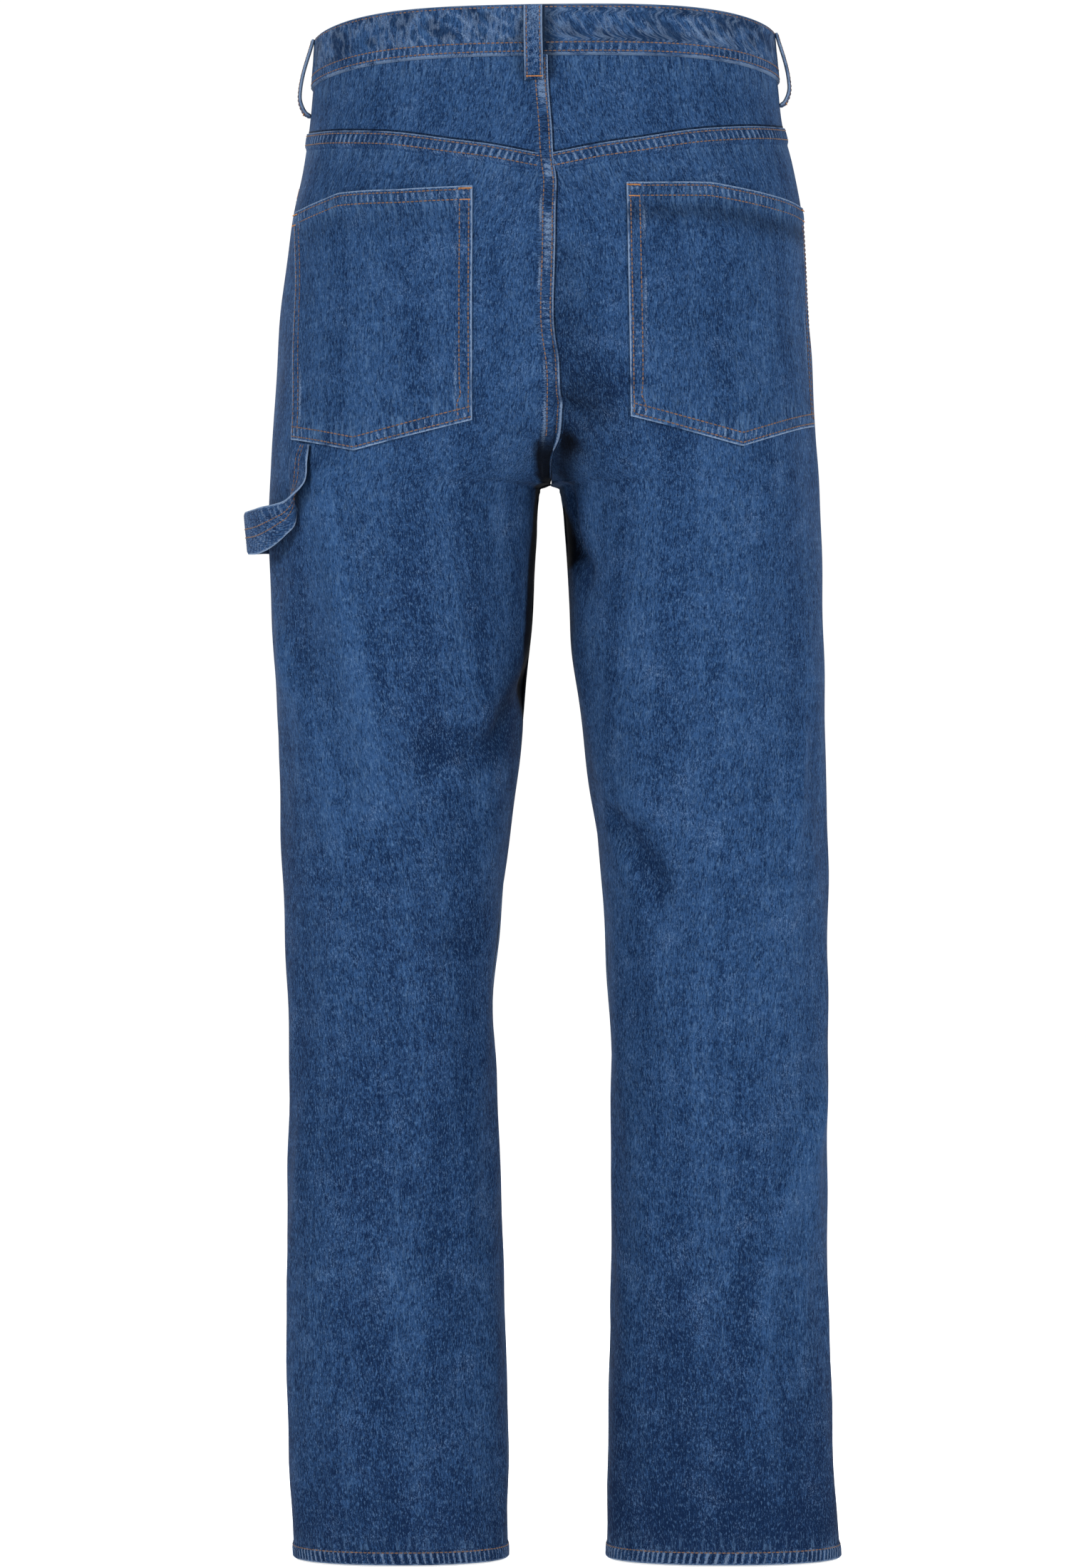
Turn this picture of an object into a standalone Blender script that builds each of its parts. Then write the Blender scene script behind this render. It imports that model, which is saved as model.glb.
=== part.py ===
"""Loose straight carpenter jeans, filled out with no wearer. Metres, +Z up; the front faces -Y and +X is the
wearer's left. The origin is the centre of the waistband at half its height.

Every piece is a grid of points on one garment surface. A point is named by its side (+1 left, -1 right), its
angle round the ring (0 at the side, 90 degrees at the back, -90 at the front) and its level (the height before
the waist is tilted). Pieces that lie on a panel are made from that panel's own points, moved out."""

import math

import bpy
import numpy as np

# Sizes in metres
WALL = 0.0014            # denim as it shows at a cut edge
GAP = 0.0003             # between pieces that are sewn together
CROTCH = -0.302          # level where the two legs part
RISE = 0.105             # height over which the two rings join into one
JOIN_POWER = 1.2         # how fast the two rings join
ROUND = 2.25             # superellipse power of every ring
TILT = 0.0102            # the waist stands this much higher at the back and lower at the front
TILT_POWER = 5           # how late it falls away towards the sides
ROLL = 0.014             # and to the wearer's left by this slope
TILT_END = -0.20         # level below which rings are level
WAIST_TOP = 0.0180       # upper edge of the waistband
WAIST_BOTTOM = -0.0176   # its lower seam
HEM_TOP = -1.0570        # seam between leg and hem band
HEM_BOTTOM = -1.0665     # lower edge of the hem
BAND_WALL = 0.0026       # waistband and hem are folded cloth
POCKET_WALL = 0.0016
LOOP_WALL = 0.0018
STRAP_WALL = 0.0022
LOOP_WIDTH = 0.0130
FACING_GAP = 0.0013      # the pocket facing hangs this far behind the front panel

# Outline and depth of the garment: how far each ring reaches to the wearer's left and right, to the front and
# to the back, and where the centre plane lies
BODY_COLUMNS = ("level", "left", "right", "front", "back", "centre")
BODY = (
    (0.030, 0.1620, 0.1620, 0.108, 0.112, 0.0020),
    (0.000, 0.1640, 0.1650, 0.111, 0.114, 0.0020),
    (-0.020, 0.1655, 0.1670, 0.113, 0.116, 0.0015),
    (-0.047, 0.1680, 0.1700, 0.116, 0.121, 0.0010),
    (-0.078, 0.1730, 0.1780, 0.119, 0.128, 0.0000),
    (-0.108, 0.1795, 0.1840, 0.122, 0.136, -0.0010),
    (-0.139, 0.1836, 0.1850, 0.124, 0.143, -0.0020),
    (-0.200, 0.1890, 0.1890, 0.124, 0.148, -0.0050),
    (-0.261, 0.1930, 0.1930, 0.119, 0.140, -0.0060),
    (-0.312, 0.1960, 0.1960, 0.112, 0.126, -0.0045),
    (-0.363, 0.1960, 0.1980, 0.106, 0.115, -0.0045),
    (-0.414, 0.1940, 0.2000, 0.100, 0.106, -0.0045),
    (-0.516, 0.1890, 0.2015, 0.089, 0.090, -0.0045),
    (-0.618, 0.1856, 0.2025, 0.078, 0.077, -0.0045),
    (-0.720, 0.1826, 0.2030, 0.067, 0.071, -0.0045),
    (-0.822, 0.1836, 0.2020, 0.059, 0.070, -0.0045),
    (-0.924, 0.1836, 0.2035, 0.053, 0.070, -0.0045),
    (-1.000, 0.1825, 0.2070, 0.050, 0.071, -0.0045),
    (-1.072, 0.1782, 0.2115, 0.048, 0.070, -0.0045),
)
# Inner outline of each leg below the crotch, measured outwards from x = 0
INNER_COLUMNS = ("level", "left", "right")
INNER = (
    (-0.302, -0.0045, 0.0045),
    (-0.304, 0.0002, 0.0085),
    (-0.308, 0.0032, 0.0110),
    (-0.314, 0.0042, 0.0123),
    (-0.338, 0.0056, 0.0150),
    (-0.363, 0.0071, 0.0168),
    (-0.388, 0.0086, 0.0180),
    (-0.414, 0.0102, 0.0194),
    (-0.465, 0.0143, 0.0255),
    (-0.516, 0.0199, 0.0326),
    (-0.567, 0.0270, 0.0398),
    (-0.618, 0.0326, 0.0434),
    (-0.669, 0.0367, 0.0459),
    (-0.720, 0.0347, 0.0480),
    (-0.771, 0.0326, 0.0480),
    (-0.873, 0.0286, 0.0474),
    (-0.975, 0.0265, 0.0460),
    (-1.072, 0.0260, 0.0444),
)
# Soft troughs (depth below zero) and ridges: a line from (angle, level) to (angle, level) in degrees and
# metres, with its half width across and its depth
FOLD_COLUMNS = ("side", "angle_a", "level_a", "angle_b", "level_b", "half_width", "depth")
FOLDS = (
    (1, 172.0, -0.448, 150.0, -0.470, 0.022, -0.0060),
    (1, 168.0, -0.484, 100.0, -0.496, 0.018, -0.0035),
    (1, 55.0, -0.315, 84.0, -0.520, 0.030, 0.0035),
    (1, 30.0, -0.430, 62.0, -0.545, 0.026, 0.0030),
    (-1, 165.0, -0.345, 150.0, -0.365, 0.020, -0.0050),
    (-1, 144.0, -0.540, 118.0, -0.585, 0.018, -0.0045),
    (-1, 148.0, -0.530, 130.0, -0.532, 0.012, 0.0025),
    (-1, 26.0, -0.745, 72.0, -0.960, 0.026, 0.0035),
    (1, -60.0, -0.500, -130.0, -0.540, 0.028, -0.0040),
    (-1, -55.0, -0.470, -120.0, -0.520, 0.028, -0.0040),
    (1, -40.0, -0.760, -110.0, -0.820, 0.030, 0.0030),
    (-1, -70.0, -0.800, -130.0, -0.860, 0.030, -0.0030),
)
# Upper edge of the back leg panel, where the yoke ends
YOKE_COLUMNS = ("angle", "level")
YOKE_SEAM = (
    (0.0, -0.0490),
    (20.0, -0.0550),
    (40.0, -0.0612),
    (55.0, -0.0663),
    (70.0, -0.0730),
    (80.0, -0.0775),
    (90.0, -0.0842),
)
# Outline of each patch pocket: outward distance from x = 0 and level, from the outer top corner round to the
# inner bottom, the point and the outer bottom corner
POCKET_COLUMNS = ("x", "level")
POCKET_LEFT = (
    (0.1746, -0.1124),
    (0.1590, -0.1084),
    (0.1435, -0.1045),
    (0.1013, -0.1060),
    (0.0498, -0.1055),
    (0.0504, -0.2628),
    (0.1326, -0.2839),
    (0.1767, -0.2743),
)
POCKET_RIGHT = (
    (0.1822, -0.1090),
    (0.1479, -0.1052),
    (0.1144, -0.1023),
    (0.0568, -0.1036),
    (0.0600, -0.2605),
    (0.1373, -0.2808),
    (0.1897, -0.2633),
)
# Lower edge of each front pocket mouth, from the side to the waistband
MOUTH_COLUMNS = ("angle", "level")
MOUTH = (
    (0.0, -0.0900),
    (-12.0, -0.0885),
    (-24.0, -0.0820),
    (-36.0, -0.0660),
    (-46.0, -0.0400),
    (-50.0, -0.0176),
)
# The hammer loop: its two long edges, section by section, from the back pocket to the side
STRAP_COLUMNS = ("x_up", "y_up", "z_up", "x_low", "y_low", "z_low")
STRAP = (
    (0.1629, 0.1045, -0.2789, 0.1713, 0.0945, -0.2766),
    (0.1660, 0.1080, -0.2920, 0.1766, 0.0865, -0.2859),
    (0.1661, 0.1120, -0.2992, 0.1776, 0.0850, -0.2938),
    (0.1675, 0.1150, -0.3053, 0.1771, 0.0850, -0.3018),
    (0.1709, 0.1160, -0.3098, 0.1755, 0.0880, -0.3120),
    (0.1755, 0.1130, -0.3136, 0.1733, 0.0940, -0.3238),
    (0.1818, 0.1050, -0.3178, 0.1747, 0.0950, -0.3343),
    (0.1892, 0.0950, -0.3198, 0.1815, 0.0890, -0.3415),
    (0.1979, 0.0800, -0.3211, 0.1920, 0.0760, -0.3495),
    (0.2053, 0.0610, -0.3221, 0.2018, 0.0590, -0.3534),
    (0.2114, 0.0380, -0.3228, 0.2089, 0.0380, -0.3532),
    (0.2132, 0.0160, -0.3229, 0.2104, 0.0160, -0.3524),
    (0.2101, 0.0000, -0.3222, 0.2081, 0.0000, -0.3518),
    (0.2035, -0.0110, -0.3215, 0.2030, -0.0110, -0.3512),
    (0.1985, -0.0200, -0.3212, 0.1985, -0.0200, -0.3510),
)
# Belt loops: side, angle of the middle, top and bottom level, and how far the middle stands out
LOOPS = (
    ("belt_loop_back", 1, 88.6, 0.0170, -0.0338, 0.0050),
    ("belt_loop_left", 1, 4.0, 0.0165, -0.0385, 0.0057),
    ("belt_loop_right", -1, 4.0, 0.0165, -0.0350, 0.0048),
    ("belt_loop_front_left", 1, -73.0, 0.0165, -0.0345, 0.0072),
    ("belt_loop_front_right", -1, -73.0, 0.0165, -0.0345, 0.0072),
)


def column(table, name, names):
    """One named column of a table as an array."""
    return np.array([row[names.index(name)] for row in table], float)


def smooth_read(levels, values, at):
    """Reads a table between its rows with cubic pieces whose slopes come from the neighbouring rows."""
    order = np.argsort(levels)
    known, held = levels[order], values[order]
    slope = np.gradient(held, known)
    at = np.clip(at, known[0], known[-1])
    row = np.clip(np.searchsorted(known, at) - 1, 0, len(known) - 2)
    step = known[row + 1] - known[row]
    t = (at - known[row]) / step
    rise = 3 * t**2 - 2 * t**3
    return (
        (1 - rise) * held[row]
        + rise * held[row + 1]
        + (t**3 - 2 * t**2 + t) * step * slope[row]
        + (t**3 - t**2) * step * slope[row + 1]
    )


BODY_LEVEL = column(BODY, "level", BODY_COLUMNS)
BODY_READ = {name: column(BODY, name, BODY_COLUMNS) for name in BODY_COLUMNS[1:]}
INNER_LEVEL = column(INNER, "level", INNER_COLUMNS)
INNER_READ = {name: column(INNER, name, INNER_COLUMNS) for name in INNER_COLUMNS[1:]}
SIDE_NAME = {1: "left", -1: "right"}


def body(name, level):
    return smooth_read(BODY_LEVEL, BODY_READ[name], level)


def joined(level):
    """0 where the ring is one whole ring round both sides, rising to 1 at the crotch where the legs part."""
    down = np.clip((level - CROTCH) / RISE, 0, 1)
    return (1 - down) ** JOIN_POWER


def ease(value, start, end):
    t = np.clip((value - start) / (end - start), 0, 1)
    return t * t * (3 - 2 * t)


def halves(side, level):
    """Centre plane, half width and middle of one side's ring. Above the crotch the half width is out / (1 + r)
    and the middle is that times r, where r = joined(level), so that the ring passes the centre plane as a U."""
    centre = body("centre", level)
    out = body(SIDE_NAME[side], level) - side * centre
    inner = smooth_read(INNER_LEVEL, INNER_READ[SIDE_NAME[side]], level) - side * centre
    r = joined(level)
    half = np.where(level < CROTCH, (out - inner) / 2, out / (1 + r))
    return centre, half, np.where(level < CROTCH, (out + inner) / 2, half * r)


def ring(side, angle, level):
    """A point of the unfolded surface: a superellipse round the middle of its side's ring."""
    angle, level = np.broadcast_arrays(np.asarray(angle, float), np.asarray(level, float))
    centre, half, middle = halves(side, level)
    front, back = body("front", level), body("back", level)
    cosine, sine = np.cos(angle), np.sin(angle)
    x = middle + half * np.sign(cosine) * np.abs(cosine) ** (2 / ROUND)
    y = (back - front) / 2 + (back + front) / 2 * np.sign(sine) * np.abs(sine) ** (2 / ROUND)
    x = centre + side * (x + GAP / 2)
    tilt = ease(level, TILT_END, 0.0)
    dip = TILT * np.sign(sine) * (1 - np.abs(cosine) ** (TILT_POWER * 2 / ROUND))
    return np.stack([x, y, level + tilt * (dip - ROLL * x)], -1)


def fold_height(side, angle, level):
    """Sum of the folds: each is its depth times a bell across its line and an eased end along it."""
    total = np.zeros(np.broadcast(angle, level).shape)
    for fold_side, angle_a, level_a, angle_b, level_b, half_width, depth in FOLDS:
        if fold_side != side:
            continue
        span = 0.1  # metres of cloth in one radian round a leg
        start = np.array([math.radians(angle_a) * span, level_a])
        along = np.array([math.radians(angle_b) * span, level_b]) - start
        length = np.hypot(*along)
        u = angle * span - start[0]
        v = level - start[1]
        run = (u * along[0] + v * along[1]) / length
        across = (u * along[1] - v * along[0]) / length
        beyond = np.maximum(np.maximum(-run, run - length), 0)
        total = total + depth * np.exp(-(across**2 + beyond**2) / (2 * (half_width * 0.55) ** 2))
    return total


def normal(side, angle, level):
    """Outward direction of the unfolded ring, from two short steps along it."""
    step_a, step_l = 0.02, 0.004
    level = np.clip(level, BODY_LEVEL.min() + step_l, BODY_LEVEL.max() - step_l)
    round_it = ring(side, angle + step_a, level) - ring(side, angle - step_a, level)
    up_it = ring(side, angle, level + step_l) - ring(side, angle, level - step_l)
    out = np.cross(round_it, up_it) * side
    return out / np.linalg.norm(out, axis=-1, keepdims=True)


def garment(side, angle, level, out=0.0):
    """A point on the folded cloth, moved out by `out` metres."""
    angle, level = np.broadcast_arrays(np.asarray(angle, float), np.asarray(level, float))
    lift = fold_height(side, angle, level) + out
    return ring(side, angle, level) + normal(side, angle, level) * lift[..., None]


def angle_of(side, x, level):
    """Angle at which a ring stands x metres out from the middle of the garment: the inverse of ring()."""
    x, level = np.broadcast_arrays(np.asarray(x, float), np.asarray(level, float))
    centre, half, middle = halves(side, level)
    share = np.clip((x - side * centre - middle) / half, -1, 1)
    return np.arccos(np.sign(share) * np.abs(share) ** (ROUND / 2))


def inner_end(level):
    """Angle at which a half ring meets the centre plane: cos(angle) = -r^(ROUND/2); pi below the crotch."""
    r = np.where(level < CROTCH, 1.0, joined(level))
    end = np.arccos(-(r ** (ROUND / 2)))
    seam = (GAP / 2 / 0.1) ** (ROUND / 2)
    return np.minimum(end, math.pi - seam)


SIDE_SEAM = (GAP / 2 / 0.1) ** (ROUND / 2)


def level_rows(top, bottom, rows):
    """Rows of one panel: the first follows its upper edge, and they even out towards its lower edge."""
    t = np.linspace(0, 1, rows)[:, None]
    return top[None, :] * (1 - t) + bottom * t


def angle_at(share, level):
    """Angle of a column of a leg panel, its share of the way from the side seam to the inner edge. The edge turns
    fast near the crotch, so only the columns next to it follow it at once: share E1 + share^4 (E - E1)."""
    end = inner_end(level) - SIDE_SEAM
    slow = math.pi / 2 * (1 + ease(-level, 0.20, 0.46))
    slow = np.minimum(slow, end)
    return SIDE_SEAM + share * slow + share**4 * (end - slow)


def share_at(angle, level):
    """The inverse of angle_at, by halving."""
    low, high = np.zeros(np.shape(angle)), np.ones(np.shape(angle))
    for _ in range(40):
        middle = (low + high) / 2
        under = angle_at(middle, level) < angle
        low, high = np.where(under, middle, low), np.where(under, high, middle)
    return (low + high) / 2


# Levels of the rows of every leg panel, at its inner edge: closest together round the crotch
BACK_LEVELS = (
    -0.0850, -0.118, -0.150, -0.178, -0.202, -0.224, -0.243, -0.260, -0.275, -0.287, -0.296, -0.3020, -0.3045,
    -0.309, -0.317, -0.330, -0.348, -0.370, -0.396, -0.426, -0.460, -0.496, -0.536, -0.580, -0.628, -0.680,
    -0.740, -0.810, -0.890, -0.975, HEM_TOP + GAP / 2,
)
FRONT_LEVELS = (WAIST_BOTTOM - GAP, -0.050, -0.084) + BACK_LEVELS[1:]


def panel_grid(face, top_of, levels, columns):
    """Angles and levels of a leg panel. face is +1 at the back and -1 at the front."""
    share = np.linspace(0, 1, columns)
    top = top_of(share)
    levels = np.array(levels)
    down = (levels - levels[0]) / (levels[-1] - levels[0])
    level = top[None, :] * (1 - down[:, None]) + levels[-1] * down[:, None]
    return face * angle_at(share[None, :], level), level


def cell_of(side, x, level, top_of, levels, columns):
    """Column and row of a leg panel's grid for points given as distance from x = 0 and level."""
    share = share_at(angle_of(side, x, level), level)
    top = top_of(share)
    levels = np.array(levels)
    down = (level - top) / (levels[-1] - top)
    known = (levels - levels[0]) / (levels[-1] - levels[0])
    return np.stack([share * (columns - 1), np.interp(down, known, np.arange(len(levels)))], -1)


def triangles(quads):
    """Each quad as two triangles, cut from its first corner to its third."""
    return np.concatenate([quads[:, [0, 1, 2]], quads[:, [0, 2, 3]]])


def closed_solid(outer, inner):
    """Vertices and faces between two grids of points: both skins and the rim round them."""
    rows, columns = outer.shape[:2]
    index = np.arange(rows * columns).reshape(rows, columns)
    skin = np.stack([index[:-1, :-1], index[:-1, 1:], index[1:, 1:], index[1:, :-1]], -1).reshape(-1, 4)
    count = rows * columns
    edge = np.concatenate([index[0, :], index[1:, -1], index[-1, -2::-1], index[-2:0:-1, 0]])
    after = np.roll(edge, -1)
    rim = np.stack([after, edge, edge + count, after + count], -1)
    skin = triangles(skin)
    faces = np.concatenate([skin, skin[:, ::-1] + count, triangles(rim)])
    return np.concatenate([outer.reshape(-1, 3), inner.reshape(-1, 3)]), faces


def closed_ring(outer, inner):
    """The same for grids whose columns run all the way round, as in a band."""
    rows, columns = outer.shape[:2]
    index = np.arange(rows * columns).reshape(rows, columns)
    after = np.roll(index, -1, axis=1)
    count = rows * columns
    skin = np.stack([index[:-1], after[:-1], after[1:], index[1:]], -1).reshape(-1, 4)
    top = np.stack([after[0], index[0], index[0] + count, after[0] + count], -1)
    low = np.stack([index[-1], after[-1], after[-1] + count, index[-1] + count], -1)
    skin = triangles(skin)
    faces = np.concatenate([skin, skin[:, ::-1] + count, triangles(top), triangles(low)])
    return np.concatenate([outer.reshape(-1, 3), inner.reshape(-1, 3)]), faces


def clipped(outline, corners):
    """The part of an outline inside one triangle: the outline is cut by each side of the triangle in turn."""
    found = [np.asarray(p, float) for p in outline]
    for k in range(3):
        a, b = corners[k], corners[(k + 1) % 3]
        cut = []
        for p, q in zip(found, found[1:] + found[:1]):
            side_p = (b[0] - a[0]) * (p[1] - a[1]) - (b[1] - a[1]) * (p[0] - a[0])
            side_q = (b[0] - a[0]) * (q[1] - a[1]) - (b[1] - a[1]) * (q[0] - a[0])
            if side_p >= 0:
                cut.append(p)
            if side_p * side_q < 0:
                cut.append(p + (q - p) * side_p / (side_p - side_q))
        found = cut
        if len(found) < 3:
            return []
    return found


def patch_on(skin, outline, low, high):
    """A closed piece over part of a panel. It is cut out of the panel's own triangles, so that it follows them
    exactly, and lies between `low` and `high` metres off them. The outline is in columns and rows of the grid."""
    points, normals = skin
    rows, columns = points.shape[:2]
    outline = np.asarray(outline, float)
    where, pieces, held = {}, [], []
    for row in range(max(0, int(outline[:, 1].min())), min(rows - 1, int(outline[:, 1].max()) + 1)):
        for col in range(max(0, int(outline[:, 0].min())), min(columns - 1, int(outline[:, 0].max()) + 1)):
            corner = np.array([[col, row], [col + 1, row], [col + 1, row + 1], [col, row + 1]], float)
            for picks in ((0, 1, 2), (0, 2, 3)):
                piece = []
                triangle = corner[list(picks)]
                for p in clipped(outline, triangle):
                    key = (round(p[0], 6), round(p[1], 6))
                    if key not in where:
                        where[key] = len(held)
                        weight = np.linalg.solve(np.vstack([triangle.T, np.ones(3)]), [p[0], p[1], 1.0])
                        at = triangle.astype(int)
                        held.append([weight @ grid[at[:, 1], at[:, 0]] for grid in (points, normals)])
                    if where[key] not in piece:
                        piece.append(where[key])
                if len(piece) > 2:
                    pieces.append(piece)
    spot = np.array([h[0] for h in held])
    out = np.array([h[1] for h in held])
    count = len(held)
    edges = {}
    for piece in pieces:
        for a, b in zip(piece, piece[1:] + piece[:1]):
            if (b, a) in edges:
                del edges[b, a]
            else:
                edges[a, b] = True
    faces = pieces + [[v + count for v in piece[::-1]] for piece in pieces]
    faces += [[b, a, a + count, b + count] for a, b in edges]
    return np.concatenate([spot + out * high, spot + out * low]), faces


for old in list(bpy.data.objects):
    bpy.data.objects.remove(old, do_unlink=True)
COLLECTION = bpy.data.collections.new("carpenter_jeans")
bpy.context.scene.collection.children.link(COLLECTION)


def material(name, colour, metallic, roughness):
    made = bpy.data.materials.new(name)
    made.use_nodes = True
    shader = made.node_tree.nodes["Principled BSDF"]
    shader.inputs["Base Color"].default_value = (*colour, 1)
    shader.inputs["Metallic"].default_value = metallic
    shader.inputs["Roughness"].default_value = roughness
    return made


DENIM = material("denim", (0.028, 0.072, 0.175), 0.0, 0.85)
BRASS = material("brass", (0.45, 0.28, 0.12), 1.0, 0.35)


def add(name, points, faces, paint=DENIM):
    """One object; a piece whose volume comes out negative was wound inwards and is turned."""
    corners = [points[[face[0], face[k], face[k + 1]]] for face in faces for k in range(1, len(face) - 1)]
    if np.linalg.det(np.array(corners)).sum() < 0:
        faces = [list(face)[::-1] for face in faces]
    mesh = bpy.data.meshes.new(name)
    mesh.from_pydata(points.tolist(), [], [list(map(int, face)) for face in faces])
    mesh.update()
    mesh.materials.append(paint)
    COLLECTION.objects.link(bpy.data.objects.new(name, mesh))


def add_patch(name, side, face, angle, level, low, high, paint=DENIM):
    """A piece between `low` and `high` metres off the garment, over a grid of angles and levels."""
    outer = garment(side, angle, level, high)
    inner = garment(side, angle, level, low)
    points, faces = closed_solid(outer, inner)
    add(name, points, faces, paint)


# Leg panels
YOKE_ANGLE = np.radians(column(YOKE_SEAM, "angle", YOKE_COLUMNS))
YOKE_LEVEL = column(YOKE_SEAM, "level", YOKE_COLUMNS)
MOUTH_ANGLE = np.radians(-column(MOUTH, "angle", MOUTH_COLUMNS))
MOUTH_LEVEL = column(MOUTH, "level", MOUTH_COLUMNS)
BACK_COLUMNS, FRONT_COLUMNS = 15, 13


def yoke_level(share):
    return smooth_read(YOKE_ANGLE, YOKE_LEVEL, share * math.pi / 2)


def mouth_level(share):
    """Upper edge of the front panel: the pocket mouth up to its end, then the waistband seam."""
    angle = share * math.pi / 2
    end = MOUTH_ANGLE[-1]
    inside = smooth_read(MOUTH_ANGLE, MOUTH_LEVEL, np.minimum(angle, end))
    return np.where(angle < end, inside, WAIST_BOTTOM) - GAP


def back_top(share):
    return yoke_level(share) - GAP / 2


SKIN = {}
for side in (1, -1):
    for part, face, top_of, levels, columns in (
        ("back_", 1, back_top, BACK_LEVELS, BACK_COLUMNS),
        ("front_", -1, mouth_level, FRONT_LEVELS, FRONT_COLUMNS),
    ):
        angle, level = panel_grid(face, top_of, levels, columns)
        SKIN[side, face] = garment(side, angle, level), normal(side, angle, level)
        add_patch(part + SIDE_NAME[side], side, face, angle, level, -WALL, 0.0)
    share = np.linspace(0, 1, 13)
    angle = SIDE_SEAM + share * (math.pi / 2 - SIDE_SEAM)
    level = level_rows(np.full(13, WAIST_BOTTOM - GAP / 2), yoke_level(share) + GAP / 2, 4)
    add_patch("yoke_" + SIDE_NAME[side], side, 1, np.tile(angle, (4, 1)), level, -WALL, 0.0)
    # the facing runs behind the pocket mouth and past its edge, a little further in than the front panel
    share = np.arange(9) / (FRONT_COLUMNS - 1)
    angle = SIDE_SEAM + share * (math.pi / 2 - SIDE_SEAM)
    edge = smooth_read(MOUTH_ANGLE, MOUTH_LEVEL, np.minimum(angle, MOUTH_ANGLE[-1])) - 0.012
    level = level_rows(np.full(9, WAIST_BOTTOM - GAP / 2), edge, 6)
    low, high = -2 * WALL - FACING_GAP, -WALL - FACING_GAP
    name = "pocket_facing_" + SIDE_NAME[side]
    add_patch(name, side, -1, -np.tile(angle, (6, 1)), level, low, high)


def between(corners, steps):
    """A closed outline with `steps` points along each of its straight edges."""
    corners = np.asarray(corners, float)
    t = np.linspace(0, 1, steps, endpoint=False)[:, None]
    after = np.roll(corners, -1, axis=0)
    return np.concatenate([a * (1 - t) + b * t for a, b in zip(corners, after)])


# Patch pockets
for side, table in ((1, POCKET_LEFT), (-1, POCKET_RIGHT)):
    x, level = between(table, 5).T
    outline = cell_of(side, x, level, back_top, BACK_LEVELS, BACK_COLUMNS)
    area = np.cross(outline, np.roll(outline, -1, axis=0)).sum()
    points, faces = patch_on(SKIN[side, 1], outline if area > 0 else outline[::-1], GAP, GAP + POCKET_WALL)
    add("back_pocket_" + SIDE_NAME[side], points, faces)


def full_ring(level, columns):
    """Angles and side of a whole ring round the body, starting at the back centre and going to the left."""
    half = columns // 2
    left = np.linspace(math.pi / 2, -math.pi / 2, half, endpoint=False)
    right = np.linspace(-math.pi / 2, math.pi / 2, half, endpoint=False)
    return left, right


def body_ring(level, out, columns=56):
    left, right = full_ring(level, columns)
    return np.concatenate([garment(1, left, level, out), garment(-1, right, level, out)])


# Waistband: a folded band, 1.2 mm thicker outwards than the cloth below it
levels = np.linspace(WAIST_TOP, WAIST_BOTTOM + GAP / 2, 3)
outer = np.stack([body_ring(np.full(28, v), 0.0008) for v in levels])
inner = np.stack([body_ring(np.full(28, v), 0.0008 - BAND_WALL) for v in levels])
points, faces = closed_ring(outer, inner)
add("waistband", points, faces)

# Hems: a closed band at the foot of each leg
for side in (1, -1):
    angle = np.linspace(0, 2 * math.pi, 32, endpoint=False)
    angle = (angle + math.pi) % (2 * math.pi) - math.pi
    levels = (HEM_TOP - GAP / 2, HEM_BOTTOM)
    outer = np.stack([garment(side, angle, np.full(32, v), 0.0006) for v in levels])
    inner = np.stack([garment(side, angle, np.full(32, v), 0.0006 - BAND_WALL) for v in levels])
    points, faces = closed_ring(outer, inner)
    add("hem_" + SIDE_NAME[side], points, faces)


def strip(name, left_edge, right_edge, thickness, paint=DENIM):
    """A closed strap between two long edges, thick across its own faces."""
    along = np.gradient((left_edge + right_edge) / 2, axis=0)
    out = np.cross(along, right_edge - left_edge)
    out = out / np.linalg.norm(out, axis=1, keepdims=True)
    half = out[:, None, :] * thickness / 2
    middle = np.stack([left_edge, (left_edge + right_edge) / 2, right_edge], 1)
    points, faces = closed_solid(middle + half, middle - half)
    add(name, points, faces, paint)


# Belt loops: a strip that starts on the waistband, stands off it over its middle and ends on the cloth below
for name, side, angle, top, bottom, clear in LOOPS:
    middle = math.radians(angle)
    share = np.array([0.0, 0.07, 0.15, 0.25, 0.37, 0.5, 0.63, 0.76, 0.86, 0.93, 1.0])
    level = top + (bottom - top) * share
    rise = ease(share, 0.0, 0.25) * ease(-share, -1.0, -0.76)
    lift = 0.0013 - 0.0006 * ease(share, 0.76, 1.0) + clear * rise
    centre = garment(side, np.full(11, middle), level)
    sideways = ring(side, middle + 0.01, -0.01) - ring(side, middle - 0.01, -0.01)
    sideways = sideways / np.linalg.norm(sideways) * LOOP_WIDTH / 2
    spine = centre + normal(side, np.full(11, middle), level) * (lift + LOOP_WALL / 2)[:, None]
    strip(name, spine - sideways, spine + sideways, LOOP_WALL)

# Hammer loop
edges = {name: column(STRAP, name, STRAP_COLUMNS) for name in STRAP_COLUMNS}
upper = np.stack([edges["x_up"], edges["y_up"], edges["z_up"]], 1)
lower = np.stack([edges["x_low"], edges["y_low"], edges["z_low"]], 1)
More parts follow.
